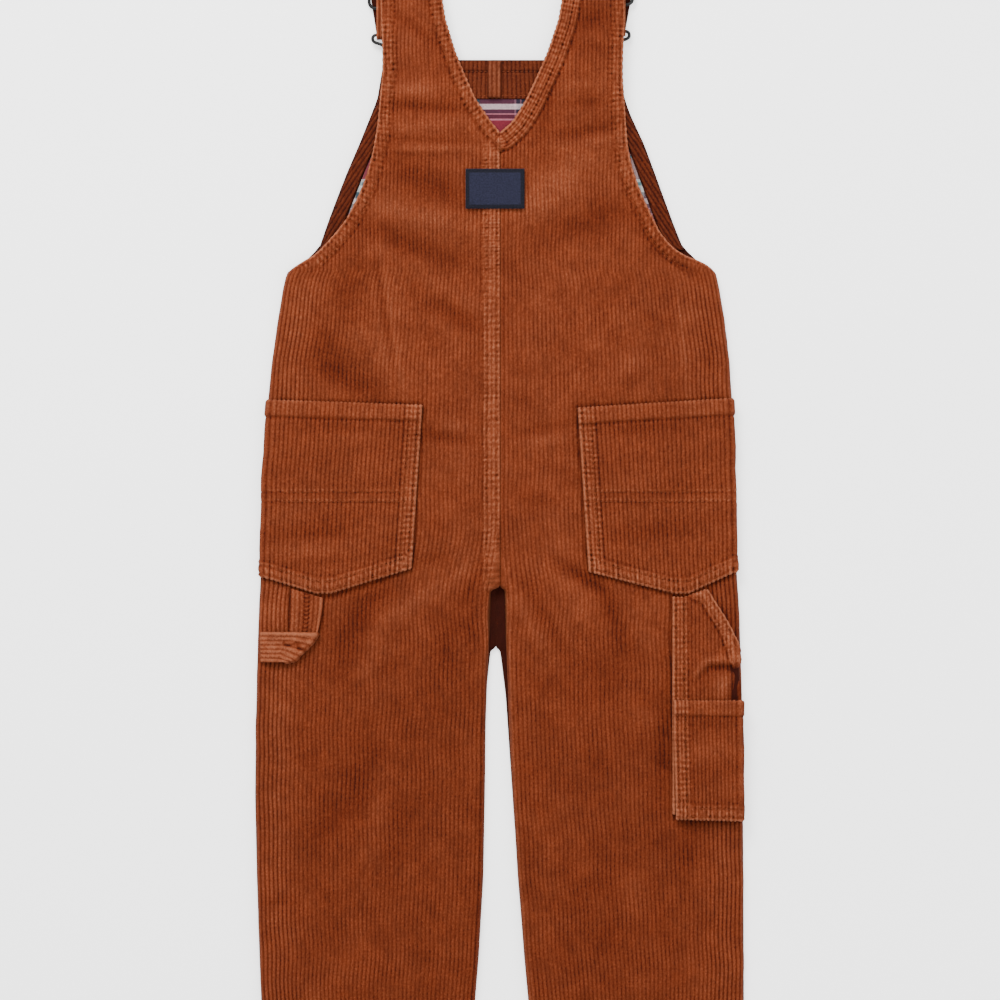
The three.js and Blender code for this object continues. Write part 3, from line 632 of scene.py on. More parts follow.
def wale_columns(side, share, up):
    """The x of each column of points: even along the cloth up to the armhole, straight above it."""
    low = np.minimum(up, ARMHOLE_UP)
    half = half_at(side, low)
    inner, turn = rib_end(side, low)
    level = np.abs(half["outer"] - inner) - 2 * SIDE_RADIUS
    length = arc_length(half["side_turn"]) + level + arc_length(turn)
    along = share * length
    from_side = half["outer"] - side * plan_distance(along, half["side_turn"])
    from_middle = inner + side * plan_distance(length - along, turn)
    x = np.where(along <= length / 2, from_side, from_middle)
    loose = np.clip(np.minimum(share, 1 - share) * 12, 0, 1)
    spread = crotch_spread(side, x, up) * np.clip(share * 8, 0, 1)
    x = x + spread + 0.9 * loose * ripple(0.4 * x, up, 48, 51)
    x = np.where(share >= 1, half["inner"], x)
    here = half_at(side, up)
    return np.clip(x, np.minimum(here["outer"], here["inner"]), np.maximum(here["outer"], here["inner"]))


def uneven(x, up):
    """Cords aren't extruded: their pile is fuller in one place than another."""
    return 0.86 + 0.3 * ripple(x * 2.2, up, 9, 41) + 0.16 * ripple(x * 3, up, 4.2, 42)


def wale_profile(wale):
    """Height of a cord across its width, from 0 in the valley to 1 on the crest."""
    return np.abs(np.sin(math.pi * wale)) ** WALE_ROUNDNESS


print(f"wale {WALE} mm wide and {WALE_HEIGHT} mm high, {PER_WALE} columns to a wale")

# %% [markdown]
# ## From faces to cloth
#
# Real cloth has two faces and an edge. A shell joins an outer grid of points to an inner one with
# fewer columns, because the inner face carries no wales, and closes it all round. Columns that the
# outline has cut off fall on one point, so doubles are merged and closed-up faces dropped.


# %% Closed shells of cloth
def grid_faces(numbers):
    a, b = numbers[:-1, :-1], numbers[:-1, 1:]
    c, d = numbers[1:, 1:], numbers[1:, :-1]
    return np.stack([a, b, c, d], axis=-1).reshape(-1, 4)


def zip_rows(low, low_at, high, high_at):
    """Triangles between two lines of points with any number of points in each."""
    faces, i, j = [], 0, 0
    while i + 1 < len(low) or j + 1 < len(high):
        if j + 1 == len(high) or (i + 1 < len(low) and low_at[i + 1] <= high_at[j + 1]):
            faces.append((low[i], low[i + 1], high[j], high[j]))
            i += 1
        else:
            faces.append((low[i], high[j + 1], high[j], high[j]))
            j += 1
    return faces


def run_share(points):
    steps = np.linalg.norm(np.diff(points, axis=0), axis=1)
    return np.concatenate([[0], np.cumsum(steps)]) / max(steps.sum(), 1e-9)


# The wrong side of the cloth has no pile. Every inner face is painted dark: painted shade, for the faces
# that lie under other cloth and show only through gaps, as the fronts do at the crotch.
INNER_FACE_PAINTED_SHADE = -1.1


def shell(name, outer, inner, marks):
    """A closed piece of cloth between two grids of points, in garment millimetres."""
    rows, columns = outer.shape[:2]
    out_no = np.arange(rows * columns).reshape(rows, columns)
    in_no = out_no.size + np.arange(inner.shape[0] * inner.shape[1]).reshape(inner.shape[:2])
    faces = [grid_faces(out_no), grid_faces(in_no)[:, ::-1]]
    for o, i, turn in ((out_no[:, 0], in_no[:, 0], 1), (out_no[:, -1], in_no[:, -1], -1)):
        faces.append(np.stack([o[:-1], o[1:], i[1:], i[:-1]], axis=-1)[:, ::turn])
    for row, turn in ((0, 1), (-1, -1)):
        ends = zip_rows(in_no[row], run_share(inner[row]), out_no[row], run_share(outer[row]))
        faces.append(np.array(ends)[:, ::turn])
    points = np.concatenate([outer.reshape(-1, 3), inner.reshape(-1, 3)])
    # The inner face gets the painted shade.
    inner_face_shade = {"tone_and_painted_light": INNER_FACE_PAINTED_SHADE}
    values = {
        k: np.concatenate([v.ravel(), np.full(inner[..., 0].size, inner_face_shade.get(k, 0.0))])
        for k, v in marks.items()
    }
    return make_mesh(name, points, np.concatenate(faces), values)


def make_mesh(name, points, faces, values):
    """Merges doubles, drops closed-up faces and turns the rest outwards."""
    places = np.round(points * 2e3).astype(np.int64)
    _, first, number = np.unique(places, axis=0, return_index=True, return_inverse=True)
    faces = number.ravel()[faces]
    same_next = faces == np.roll(faces, -1, axis=1)
    faces = faces[same_next.sum(axis=1) <= 1]
    lists = [[v for k, v in enumerate(f) if v != f[k - 1]] for f in faces.tolist()]
    lists = [f for f in lists if len(set(f)) == len(f) > 2]
    return new_piece(name, points[first], lists, {k: v[first] for k, v in values.items()})


def new_piece(name, points, faces, values):
    """A smooth object from garment points, with a value of each kind for every point."""
    mesh = bpy.data.meshes.new(name)
    place = (points + np.array([SEAM_X, HEM_Y, 0])) * MM
    mesh.from_pydata(place.tolist(), [], faces)
    for key, value in values.items():
        mesh.attributes.new(key, "FLOAT", "POINT").data.foreach_set("value", value.astype(np.float32))
    mesh.validate()
    mesh.polygons.foreach_set("use_smooth", [True] * len(mesh.polygons))
    piece = add_object(name, mesh)
    face_outwards(piece)
    return piece


def add_object(name, data):
    thing = bpy.data.objects.new(name, data)
    bpy.context.scene.collection.objects.link(thing)
    return thing


def pick(piece):
    """Selects one piece alone and makes it the active one."""
    bpy.ops.object.select_all(action="DESELECT")
    piece.select_set(True)
    bpy.context.view_layer.objects.active = piece


def face_outwards(piece):
    """Recalculates the normals, as Shift-N does in edit mode."""
    pick(piece)
    bpy.ops.object.mode_set(mode="EDIT")
    bpy.ops.mesh.select_all(action="SELECT")
    bpy.ops.mesh.normals_make_consistent(inside=False)
    bpy.ops.object.mode_set(mode="OBJECT")


def report_piece(piece):
    triangles = sum(len(p.vertices) - 2 for p in piece.data.polygons)
    size = [d / MM for d in piece.dimensions]
    print(f"{piece.name}: {triangles} triangles, {size[0]:.1f} x {size[1]:.1f} x {size[2]:.1f} mm")


# %% [markdown]
# ## Back halves
#
# Each half goes from the hem over the shoulder, down the front as the strap, round the buckle's bar
# and back up to the slider, in one piece. The strap's path past the shoulder is a list of steps, and
# tilt is the way its outer face looks: 0 is up, half a turn is down, and a whole turn is up again.

# %% Strap path
WIRE = 1.1
STRAPS = {
    -1: {"x": -69.3, "bar_up": 738.5},
    1: {"x": 70.6, "bar_up": 741.0},
}
STRAP = {"front_up": 762, "front_width": 37, "end_up": 765, "end_width": 29.6, "bend_share": 0.3}


def strap_path(side):
    """The strap's steps past the shoulder, each with x, up, z, tilt and width."""
    shoulder = half_at(side, float(SHOULDER_UP))
    middle = (shoulder["outer"] + shoulder["inner"]) / 2
    width = abs(shoulder["outer"] - shoulder["inner"])
    radius = float(shoulder["top"]) / 2
    bar_x, bar_up = STRAPS[side]["x"], STRAPS[side]["bar_up"]
    loop = WIRE + GAP + CLOTH
    steps = []
    for turn in np.linspace(0, 1, 9)[1:]:
        tilt = turn * math.pi
        up, z = SHOULDER_UP + radius * math.sin(tilt), radius + radius * math.cos(tilt)
        steps.append((mix(middle, bar_x, turn * STRAP["bend_share"]), up, z, tilt, width))
    for share in (0.5, 1):
        x = mix(middle, bar_x, mix(STRAP["bend_share"], 1, share))
        up = mix(SHOULDER_UP, STRAP["front_up"], share)
        steps.append((x, up, 0, math.pi, mix(width, STRAP["front_width"], share)))
    for turn in np.linspace(0, 1, 9):
        tilt = math.pi * (1 + turn)
        up, z = bar_up + loop * math.sin(tilt), loop + loop * math.cos(tilt)
        steps.append((bar_x, up, z, tilt, STRAP["end_width"]))
    for up in ((bar_up + STRAP["end_up"]) / 2, STRAP["end_up"]):
        steps.append((bar_x, up, 2 * loop, 2 * math.pi, STRAP["end_width"]))
    return steps, middle, width


# %% Build the back halves
# How far apart the rows of points are, as a factor on the spacings below.
COARSE = 1.0
# Rows are wide apart on the legs and close where hems and folds need them.
BODY_UPS = np.unique(np.concatenate([
    np.arange(0, 190, 4.5 * COARSE),
    np.arange(190, CROTCH_UP - 4, 2.6 * COARSE),
    np.arange(CROTCH_UP, ARMHOLE_UP, 1.5 * COARSE),
    np.arange(ARMHOLE_UP, SHOULDER_UP, 0.9 * COARSE),
    [CROTCH_UP - 3, CROTCH_UP - 1.5, V_UP, SHOULDER_UP],
]))


def plain_columns(count, every=16):
    """Columns that the inner face keeps: few across the middle, more where the cloth turns down."""
    edge = 3 * PER_WALE
    at_edge = [i for i in range(count + 1) if (i < edge or i > count - edge) and i % 2 == 0]
    return sorted({*at_edge, *range(0, count + 1, every)})


def cord_tone(side, x, up, wale):
    """How the light picks out the cords. Towards the side seam the cloth bends away and they stand
    out, and in other places the pile is brushed over the valleys and hides them."""
    from_seam = np.abs(x - half_at(side, up)["outer"])
    bending = hump(from_seam, 13, 13) * step_down(up, ARMHOLE_UP - 8, 8)
    brushed = patchy(0.45, 0.7, ripple(x, up, 30, 91), 0, 1) * (1 - bending)
    cord = wale_profile(wale)
    return 0.5 * bending * (cord - 0.4) - 0.6 * brushed * (cord - 0.62)


BACK_WALES = 55
# The cords end over this distance from an edge.
WALE_RUN_OUT = 1.5


def strap_rows(side, x, wale, from_edge):
    """The strap's two faces past the shoulder, as one row of points for each step of its path. They
    carry on from the last row of the back, so they start from its x, wales and edges."""
    steps, middle, width = strap_path(side)
    cords = WALE_HEIGHT * wale_profile(wale) * np.clip(from_edge / WALE_RUN_OUT, 0, 1)
    faces = []
    for step_x, step_up, z, tilt, step_width in steps:
        across = step_x + (x - middle) * step_width / width
        for lift in (np.clip(math.cos(tilt), 0, 1) * cords, np.full(x.size, -CLOTH)):
            faces.append([across, step_up + math.sin(tilt) * lift, z + math.cos(tilt) * lift])
    faces = np.array(faces).transpose(0, 2, 1)
    return faces[::2], faces[1::2]


def back_half(side):
    count = BACK_WALES * PER_WALE
    share = np.arange(count + 1)[None, :] / count
    up = BODY_UPS[:, None]
    x = wale_columns(side, share, up)
    half = half_at(side, up)
    from_edge = np.minimum(np.abs(x - half["outer"]), np.abs(x - half["inner"]))
    _, band, tone_and_painted_light = back_relief(side, x, up)
    wale = share * BACK_WALES + 0 * x
    tone_and_painted_light = tone_and_painted_light + cord_tone(side, x, up, wale)
    wale = along_neck(side, x, up, wale)
    cords = WALE_HEIGHT * wale_profile(wale) * uneven(x, up)
    height = cords * np.clip(from_edge / WALE_RUN_OUT, 0.25, 1) * (1 - 0.3 * band)
    keep = plain_columns(count)
    troughs = FOLD_LIFT * np.minimum(fold_height(x[:, keep], up), 0) * step_down(up, 640, 8)
    strap_outer, strap_inner = strap_rows(side, x[-1], wale[-1], from_edge[-1])
    outer = np.concatenate([on_back(side, x, up, height), strap_outer])
    inner = np.concatenate([
        on_back(side, x[:, keep], up, troughs - CLOTH, relief=False),
        strap_inner[:, keep],
    ])
    marks = {
        key: np.concatenate([values] + [values[-1:]] * len(strap_outer))
        for key, values in (("wale", wale), ("band", band), ("tone_and_painted_light", tone_and_painted_light))
    }
    return shell(f"cloth_back_{SIDES[side]}", outer, inner, marks)


backs = {side: back_half(side) for side in SIDES}
for piece in backs.values():
    report_piece(piece)

# %% [markdown]
# ## Front
#
# The front lies face down and carries the weight of the rest, so its wales are pressed against the
# floor: they are modelled upwards from it, with each crest at zero. The legs meet at the front seam,
# and the bib is one piece above the waist seam. Towards its top the bib is lifted by the buckles.

# %% Front legs
WAIST_UP = 505
FRONT = table(("up", "left", "right"), [
    (0, -23, 26), (140, -13, 14.7), (205, -11.5, 9.5), (289, -9.5, 3.8), (318, -6.6, 0.2),
    (319.8, -5.6, -0.4), (320.5, -2.85, -2.85), (380, -2.85, -2.85), (WAIST_UP, -2.85, -2.85),
])
FRONT_UPS = np.unique(np.append(
    np.arange(0, WAIST_UP, 6.0 * COARSE),
    [318, 319.2, 319.9, 320.5, 322, WAIST_UP],
))
FRONT_WALES = 52


def sheet_grid(low_x, high_x, up, z_of, columns):
    """A grid of points between two edges, at a height given by a function of x and up."""
    share = np.linspace(0, 1, columns + 1)[None, :]
    x = low_x + (high_x - low_x) * share
    return np.stack([x, up + 0 * x, z_of(x, up + 0 * x, share + 0 * x)], axis=-1)


def front_leg(side):
    up = FRONT_UPS[:, None]
    outer = read(BACK, SIDES[side], up)
    inner = read(FRONT, SIDES[side], up, 0.8)
    low_x, high_x = np.minimum(outer, inner), np.maximum(outer, inner)
    columns = FRONT_WALES * PER_WALE

    def under(x, _, share):
        edge = np.clip(np.minimum(x - low_x, high_x - x), 0, WALE_RUN_OUT)
        round_off = WALE_RUN_OUT - np.sqrt(WALE_RUN_OUT**2 - (WALE_RUN_OUT - edge) ** 2)
        return np.maximum(round_off, 0.5 * (1 - wale_profile(share * FRONT_WALES)))

    below = sheet_grid(low_x, high_x, up, under, columns)
    above = sheet_grid(low_x, high_x, up, lambda x, u, s: 0 * x + CLOTH, 12)
    wale = np.linspace(0, FRONT_WALES, columns + 1)[None, :] + 0 * up
    return shell(f"cloth_front_{SIDES[side]}", below, above, {"wale": wale, "tone_and_painted_light": 0 * wale})


fronts = [front_leg(side) for side in SIDES]

# %% Bib
BIB_TOP = 721
BIB = table(("up", "left", "right", "base"), [
    (WAIST_UP + GAP, -156.4, 157, 0), (530, -153.5, 155, 0), (560, -148.8, 150.4, 0), (577, -145, 147, 0),
    (585, -132, 134, 0.3), (594, -123, 124.5, 0.8), (608, -118.2, 118.8, 1.5), (622, -113, 113.6, 2.1),
    (644, -104.4, 105.5, 3.0), (664, -95.7, 98, 3.8), (683, -88, 89, 4.5), (694, -83.6, 85, 4.8),
    (BIB_TOP, -79, 80, 4.8),
])
BIB_WALES = 104
BIB_UPS = np.unique(np.append(np.arange(WAIST_UP + GAP, BIB_TOP, 5.0), [577, 585, BIB_TOP]))


def bib_base(up):
    return read(BIB, "base", up, 4)


def bib_panel():
    up = BIB_UPS[:, None]
    left, right = read(BIB, "left", up, 0.8), read(BIB, "right", up, 0.8)
    columns = BIB_WALES * PER_WALE

    def under(x, u, share):
        return bib_base(u) + 0.5 * (1 - wale_profile(share * BIB_WALES))

    below = sheet_grid(left, right, up, under, columns)
    above = sheet_grid(left, right, up, lambda x, u, s: bib_base(u) + CLOTH, 24)
    wale = np.linspace(0, BIB_WALES, columns + 1)[None, :] + 0 * up
    return shell("cloth_bib", below, above, {"wale": wale, "tone_and_painted_light": 0 * wale})


bib = bib_panel()
for piece in fronts + [bib]:
    report_piece(piece)

# %% [markdown]
# ## Inside of the bib
#
# Through the neck and the armholes the inside of the bib shows: a corduroy facing across the top and
# down each armhole, whose wales follow the armhole, a checked cotton lining below it, and a tab. They
# lie on one another, so each is a thin sheet on the bib's inner face, a little higher than the last.

# %% Facings, tab and lining
FACING_LIFT = CLOTH + GAP
FACING = {"thick": 1.2, "side": 11.0, "top": 26.5, "inset": 0.6}
FACING_LOW = BIB_TOP - FACING["top"]


def facing_edge(key, up):
    return read(BIB, key, up, 0.8) + (FACING["inset"] if key == "left" else -FACING["inset"])


def on_bib(name, ups, edges, lift, thick, wales, lean=0.0, per=PER_WALE, shade=0.0, groove_up=0.0):
    """A sheet on the bib's inner face between two edges. lean slants its wales, in wales for each
    millimetre up, and a row of thread may pull a groove across it at groove_up."""
    up = np.asarray(ups, float)[:, None]
    low, high = (edge(up) for edge in edges)
    columns = max(int(wales * per), 12)

    def wale_at(share, u):
        return share * wales + lean * (u - up.min())

    def top(x, u, s):
        edge = np.clip(np.minimum(x - low, high - x) / 1.2, 0, 1)
        ribs = 0.5 * wale_profile(wale_at(s, u)) * (0.3 + 0.7 * edge)
        return bib_base(u) + lift + thick * (0.4 + 0.6 * edge) + ribs - 0.5 * hump(u, groove_up, 0.9)

    above = sheet_grid(low, high, up, top, columns)
    below = sheet_grid(low, high, up, lambda x, u, s: bib_base(u) + lift, 8)
    share = np.linspace(0, 1, columns + 1)[None, :] + 0 * up
    edge = np.minimum(share, 1 - share) * (high - low)
    # Painted light on the sheet: a painted shadow at each edge with a painted highlight just inside it,
    # painted shade in the thread's groove, and shade, which makes the whole sheet darker below zero, as
    # painted shade, and lighter above it. The ripple is random tone.
    tone_and_painted_light = shade - 0.9 * hump(edge, 0, 0.9) + 0.3 * hump(edge, 1.6, 0.8)
    tone_and_painted_light = tone_and_painted_light - 1.0 * hump(up, groove_up, 0.8) + 0.25 * ripple(up, 30 * share, 9, 71)
    return shell(name, above, below, {"wale": wale_at(share, up), "tone_and_painted_light": tone_and_painted_light})


def side_facing(key, seed):
    """The band down one armhole. The wales that end at its free edge leave bumps on it."""
    inwards = 1 if key == "left" else -1

    def free(u):
        return facing_edge(key, u) - inwards * 0.7 * nicks(u, 4.0, seed)

    def held(u):
        return facing_edge(key, u) + inwards * FACING["side"]

    ups = np.arange(592, FACING_LOW - GAP, 1.5)
    # The armhole bands lie deep in the armholes and are painted darker: painted shade.
    return on_bib(f"cloth_facing_{key}", ups, (free, held)[::inwards], FACING_LIFT, FACING["thick"],
                  3.4, lean=-0.085 * inwards, per=8, shade=-0.7)


def bib_edges(reach):
    """The bib's two edges, each moved in by a reach that is a function of up."""
    return (lambda u: facing_edge("left", u) + reach(u), lambda u: facing_edge("right", u) - reach(u))


TOP_ROW_UP = BIB_TOP - 8.0
# The top facing is painted darker, painted shade inside the bib, and the tab lighter.
facings = {
    "facing_top": on_bib("cloth_facing_top", np.linspace(FACING_LOW, BIB_TOP - 0.6, 40),
                         bib_edges(lambda u: 0 * u), FACING_LIFT, FACING["thick"], 55,
                         shade=-0.32, groove_up=TOP_ROW_UP),
    "facing_left": side_facing("left", 3),
    "facing_right": side_facing("right", 4),
    "facing_tab": on_bib("cloth_facing_tab", np.linspace(FACING_LOW + 0.5, BIB_TOP - 1, 14),
                         (lambda u: -8.5 + 0 * u, lambda u: 1.0 + 0 * u),
                         FACING_LIFT + FACING["thick"] + GAP + 0.5, 1.0, 3.0, per=8, shade=0.35),
}


def lining_reach(up):
    return np.where(up < 586, 8.0, FACING["side"]) + GAP


lining_ups = np.append(np.arange(520, FACING_LOW - GAP, 3.0), FACING_LOW - GAP)
lining = on_bib("checked_lining", lining_ups, bib_edges(lining_reach), FACING_LIFT, 0.8, 0)
for piece in list(facings.values()) + [lining]:
    report_piece(piece)

# %% [markdown]
# ## Patch pockets
#
# A patch pocket is a panel with its edges turned under, stitched twice round three sides, with a
# doubled band at its mouth. It lies on the wales of the back, so its points are the back's own points
# moved out. The table gives each pocket's corners as a height at a share of its width, from 0 at the
# edge near the middle to 1 at the side seam.

# %% Pocket panels
ON_RIBS = 0.8
ON_TOOL_POCKET = 2 * ON_RIBS + CLOTH
BACK_POCKETS = {
    -1: {
        "top": 486.3, "top_side": 489.9, "corner": 375.0,
        "tip": 356.3, "tip_share": 0.58, "low_side": 369.5,
    },
    1: {
        "top": 484.4, "top_side": 490.9, "corner": 372.8,
        "tip": 356.5, "tip_share": 0.62, "low_side": 373.0,
    },
}


# The pocket leans in over this height, and its point is blunt over this share of its width each way.
LEAN_FROM, LEAN_TO = 374, 485.5
BLUNT = 0.05


def back_pocket_shape(side):
    p = BACK_POCKETS[side]
    shares = [0, p["tip_share"] - BLUNT, p["tip_share"] + BLUNT, 1]
    near_tip = mix(p["tip"], p["corner"], BLUNT / p["tip_share"]) + 0.2
    heights = [p["corner"], near_tip, p["tip"] + 1.6, p["low_side"]]
    return {
        "side": side,
        "inner": lambda up: side * mix(60.0, 52.6, (up - LEAN_FROM) / (LEAN_TO - LEAN_FROM)),
        "end": math.radians(40),
        "bottom": lambda s: np.interp(s, shares, heights),
        "top": lambda s: mix(p["top"], p["top_side"], s),
        "wales": 35,
        "lift": ON_RIBS,
        "hem": 10.8,
        "mouth": None,
        "cross_rows": (427.0, 420.4),
    }


# The tool pocket's mouth starts under the back pocket's point and falls in a curve to the side seam.
MOUTH_SHARES = [0, 0.18, 0.52, 0.57, 0.64, 0.81, 0.92, 1]
MOUTH_HEIGHTS = [355.9, 355.7, 361.0, 360.4, 354.6, 342.2, 333.0, 322.0]

TOOL_SHAPE = {
    "side": 1,
    "inner": lambda up: 117.0 + 0 * up,
    "end": math.radians(50),
    "bottom": lambda s: 208 + 0 * s,
    "top": lambda s: np.interp(s, MOUTH_SHARES, MOUTH_HEIGHTS),
    "wales": 17,
    "lift": ON_RIBS,
    "hem": 0,
    "mouth": MOUTH,
    "cross_rows": (),
}
SMALL_SHAPE = {
    "side": 1,
    "inner": lambda up: 117.8 + 1.6 * np.clip((260 - up) / 50, 0, 1),
    "end": math.radians(58),
    "bottom": lambda s: 204.6 - 1.2 * s,
    "top": lambda s: 285.6 + 0 * s,
    "wales": 17,
    "lift": ON_TOOL_POCKET,
    "hem": 10.2,
    "mouth": None,
    "cross_rows": (),
}


def bitten(shape):
    """The same pocket with its mouth and foot nicked by the wales that end there."""
    nicked = dict(shape)
    nick = lambda s: 0.7 * (wale_profile(s * shape["wales"]) - 0.6)
    nicked["bottom"] = lambda s: shape["bottom"](s) - nick(s)
    nicked["top"] = lambda s: shape["top"](s) + nick(s)
    return nicked


def pocket_points(shape, share, t):
    """The place on the back of a point in a pocket, t running from its bottom to its mouth, and how
    far the point is from the pocket's edge near the middle."""
    side = shape["side"]
    up = mix(shape["bottom"](share), shape["top"](share), t)
    outer = half_at(side, up)["outer"]
    inner_along = np.abs(outer - shape["inner"](up)) - SIDE_RADIUS + SIDE_RADIUS * math.pi / 2
    along = mix(inner_along, SIDE_RADIUS * shape["end"], share)
    return outer - side * plan_distance(along, 1.0), up, inner_along - along


POCKET_ROWS = (2.6, 8.2)
POCKET_HEM = 10.6
MOUTH_ROWS = (2.4, 7.0)


def cross_row(x, up, row):
    """Groove and tone of a row of thread across a pocket: painted shade in the groove and a painted
    highlight on the ridge above it.
    """
    groove = hump(up, row, 0.7)
    nubs = 0.5 + 0.5 * np.sin(2 * math.pi * x / STITCH + 2 * ripple(x, up, 20, 29))
    return 0.35 * groove, (0.2 + 0.7 * nubs) * hump(up, row + 1.1, 0.8) - 0.6 * groove


def pocket_relief(shape, share, x, up, to_middle):
    """Relief, band and tone of the pocket's own hems, rows of thread and soft creases."""
    from_bottom = up - shape["bottom"](share)
    from_top = shape["top"](share) - up
    height = 0.3 * ripple(x, up * 1.8, 50, 21) + 0.16 * ripple(x, up * 1.5, 16, 22)
    tone_and_painted_light = 0.2 * ripple(x * 0.6, up * 1.6, 30, 24) + fold_painted_light(x, up) - 0.14
    band = np.zeros(x.shape)
    for away, along in ((to_middle, up), (from_bottom, x)):
        hem, inside, hem_tone = hem_relief(away, along, x, up, POCKET_HEM, POCKET_ROWS, 0.5, 23, 3.7)
        height += hem
        tone_and_painted_light += hem_tone + 0.15 * inside
        band = np.maximum(band, inside)
    if shape["mouth"]:
        mouth = (HEM_WIDTH, MOUTH_ROWS, 0.7, 14, 2.9)
        rim, inside, rim_tone = band_relief(x, up, shape["mouth"], *mouth, groove=0.7)
        here = step_up(x, 124, 3)
        height += rim * here
        tone_and_painted_light += (rim_tone + 0.45 * inside) * here
        band = np.maximum(band, inside * here)
    # The hem at the mouth is a little lighter, with painted shade in the groove below it.
    if shape["hem"]:
        inside = step_down(from_top, shape["hem"], 0.4)
        below = hump(from_top, shape["hem"] + 0.9, 0.9)
        height += 0.8 * inside - 0.6 * below
        tone_and_painted_light += 0.25 * inside - 0.6 * below
        band = np.maximum(band, 0.8 * inside)
    for row in shape["cross_rows"]:
        groove, row_tone = cross_row(x, up, row)
        height -= groove
        tone_and_painted_light += row_tone
    # The rolled top edge dips and gets a painted highlight.
    height -= 0.8 * np.clip(1 - from_top / 1.2, 0, 1) ** 2
    tone_and_painted_light += 0.5 * hump(from_top, 0.5, 0.8)
    return height, band, tone_and_painted_light


CREASE = [(134.5, 300), (137.5, 304), (143, 307.5), (153, 308), (161, 305)]
SLIT = [(165, 310), (161.6, 302), (159.8, 295), (159.2, 287)]
BROW = [(133, 303), (140, 312), (152, 313.5), (162, 311)]


def tool_sag(x, up):
    """The tool pocket sags over the small one: an arched crease, with a full lobe under it and a
    hollow at its open side."""
    crease, slit, brow = (distance_to(x, up, line)[0] for line in (CREASE, SLIT, BROW))
    full = 1.2 * hump(brow, 0, 2.8) + 1.3 * hump(x, 151, 5.5) * hump(up, 296, 8.5)
    fading = step_up(x, 139, 5)
    return full - 1.9 * fading * hump(crease, 0, 2.2) - 3.0 * hump(slit, 0, 3.4)


def pocket(name, shape, sag):
    shape = bitten(shape)
    count = shape["wales"] * PER_WALE
    share = np.arange(count + 1)[None, :] / count
    tall = float(np.max(shape["top"](share) - shape["bottom"](share)))
    t = np.linspace(0, 1, int(tall / (1.2 * COARSE)) + 1)[:, None]
    x, up, to_middle = pocket_points(shape, share, t)
    relief, band, tone_and_painted_light = pocket_relief(shape, share, x, up, to_middle)
    if sag:
        relief = relief + sag(x, up)
        # The tone follows the sag: painted light on the full lobe, painted shade in the crease and the
        # hollow.
        tone_and_painted_light = tone_and_painted_light + 0.5 * np.clip(sag(x, up), -1.9, 1.4)
    wale = share * shape["wales"] + 0 * x
    from_ends = np.minimum(up - shape["bottom"](share), shape["top"](share) - up)
    run_out = np.clip(to_middle / WALE_RUN_OUT, 0, 1) * np.clip(from_ends / 0.8, 0.35, 1)
    cords = WALE_HEIGHT * wale_profile(wale) * uneven(x, up) * (1 - 0.3 * band) * run_out
    outer = on_back(shape["side"], x, up, shape["lift"] + CLOTH + relief + cords)
    keep = plain_columns(count, 4)
    inner = on_back(shape["side"], x[:, keep], up[:, keep], shape["lift"])
    return shell(name, outer, inner, {"wale": wale, "band": band, "tone_and_painted_light": tone_and_painted_light})


POCKET_SHAPES = {
    "back_pocket_left": (back_pocket_shape(-1), None),
    "back_pocket_right": (back_pocket_shape(1), None),
    "tool_pocket": (TOOL_SHAPE, tool_sag),
    "small_pocket": (SMALL_SHAPE, None),
}
pockets = {name: pocket(f"cloth_{name}", *shape) for name, shape in POCKET_SHAPES.items()}
for piece in pockets.values():
    report_piece(piece)

# %% [markdown]
# ## Hammer loop
#
# On the wearer's left leg a strip hangs from under the pocket, folds over on a diagonal and is caught
# in the side seam. It is one ribbon: each row of points runs across it, and at the fold the rows turn
# over, so that its inner face comes up.

# %% Loop of folded strip
LOOP = {
    "left": -142.4, "right": -120.2, "top_left": 361.5, "top_right": 355.0, "low": 311.4, "high": 332.0,
    "width": 23, "wales": 7, "per_wale": 6,
}
FOLD_LINE = table(("share", "x", "up"), [
    (0, -146.9, 311.4), (0.3, -139.6, 313.2), (0.42, -137.2, 316.0), (0.65, -131.4, 321.6),
    (0.82, -127.2, 325.9), (1, -123.7, 331.8),
])


def ribbon_row(x, up, lift, out=0.0):
    """A row of points across the ribbon, pushed out beyond the fold by a distance."""
    return on_back(-1, x + 0.68 * out, up - 0.73 * out, lift, relief=False)


def hanging_rows(share, ribs, fold_x, fold_up):
    """The part that hangs from under the pocket, with a close zigzag of thread down its middle."""
    pile_sides, wrong_sides, tones = [], [], []
    top_x = mix(LOOP["left"], LOOP["right"], share)
    top_up = mix(LOOP["top_left"], LOOP["top_right"], share)
    column = hump(share, 0.5, 0.12)
    from_left = share * LOOP["width"]
    # Painted highlights along the right rim and just inside the left edge, and a painted shadow line on the
    # left edge.
    rims = 0.8 * hump(LOOP["width"] - from_left, 1.4, 1.3) + 0.4 * hump(from_left, 3.2, 2.0)
    rims = rims - 0.8 * hump(from_left, 0, 1.0)
    for t in np.linspace(0, 1, 40):
        x = mix(top_x, fold_x, t ** mix(3.0, 1.6, share))
        up = mix(top_up, fold_up, t)
        zigzag = np.sin(2 * math.pi * up / 2.9 + 2.6 * np.sin(5 * math.pi * share))
        tones.append(0.15 + rims + (0.9 * zigzag - 0.7) * column)
        relief = (0.3 * zigzag - 0.5) * column - 0.35 * hump(from_left, 17, 0.8)
        pile_sides.append(ribbon_row(x, up, ON_RIBS + CLOTH + 0.6 * ribs + relief))
        wrong_sides.append(ribbon_row(x, up, ON_RIBS))
    return pile_sides, wrong_sides, tones


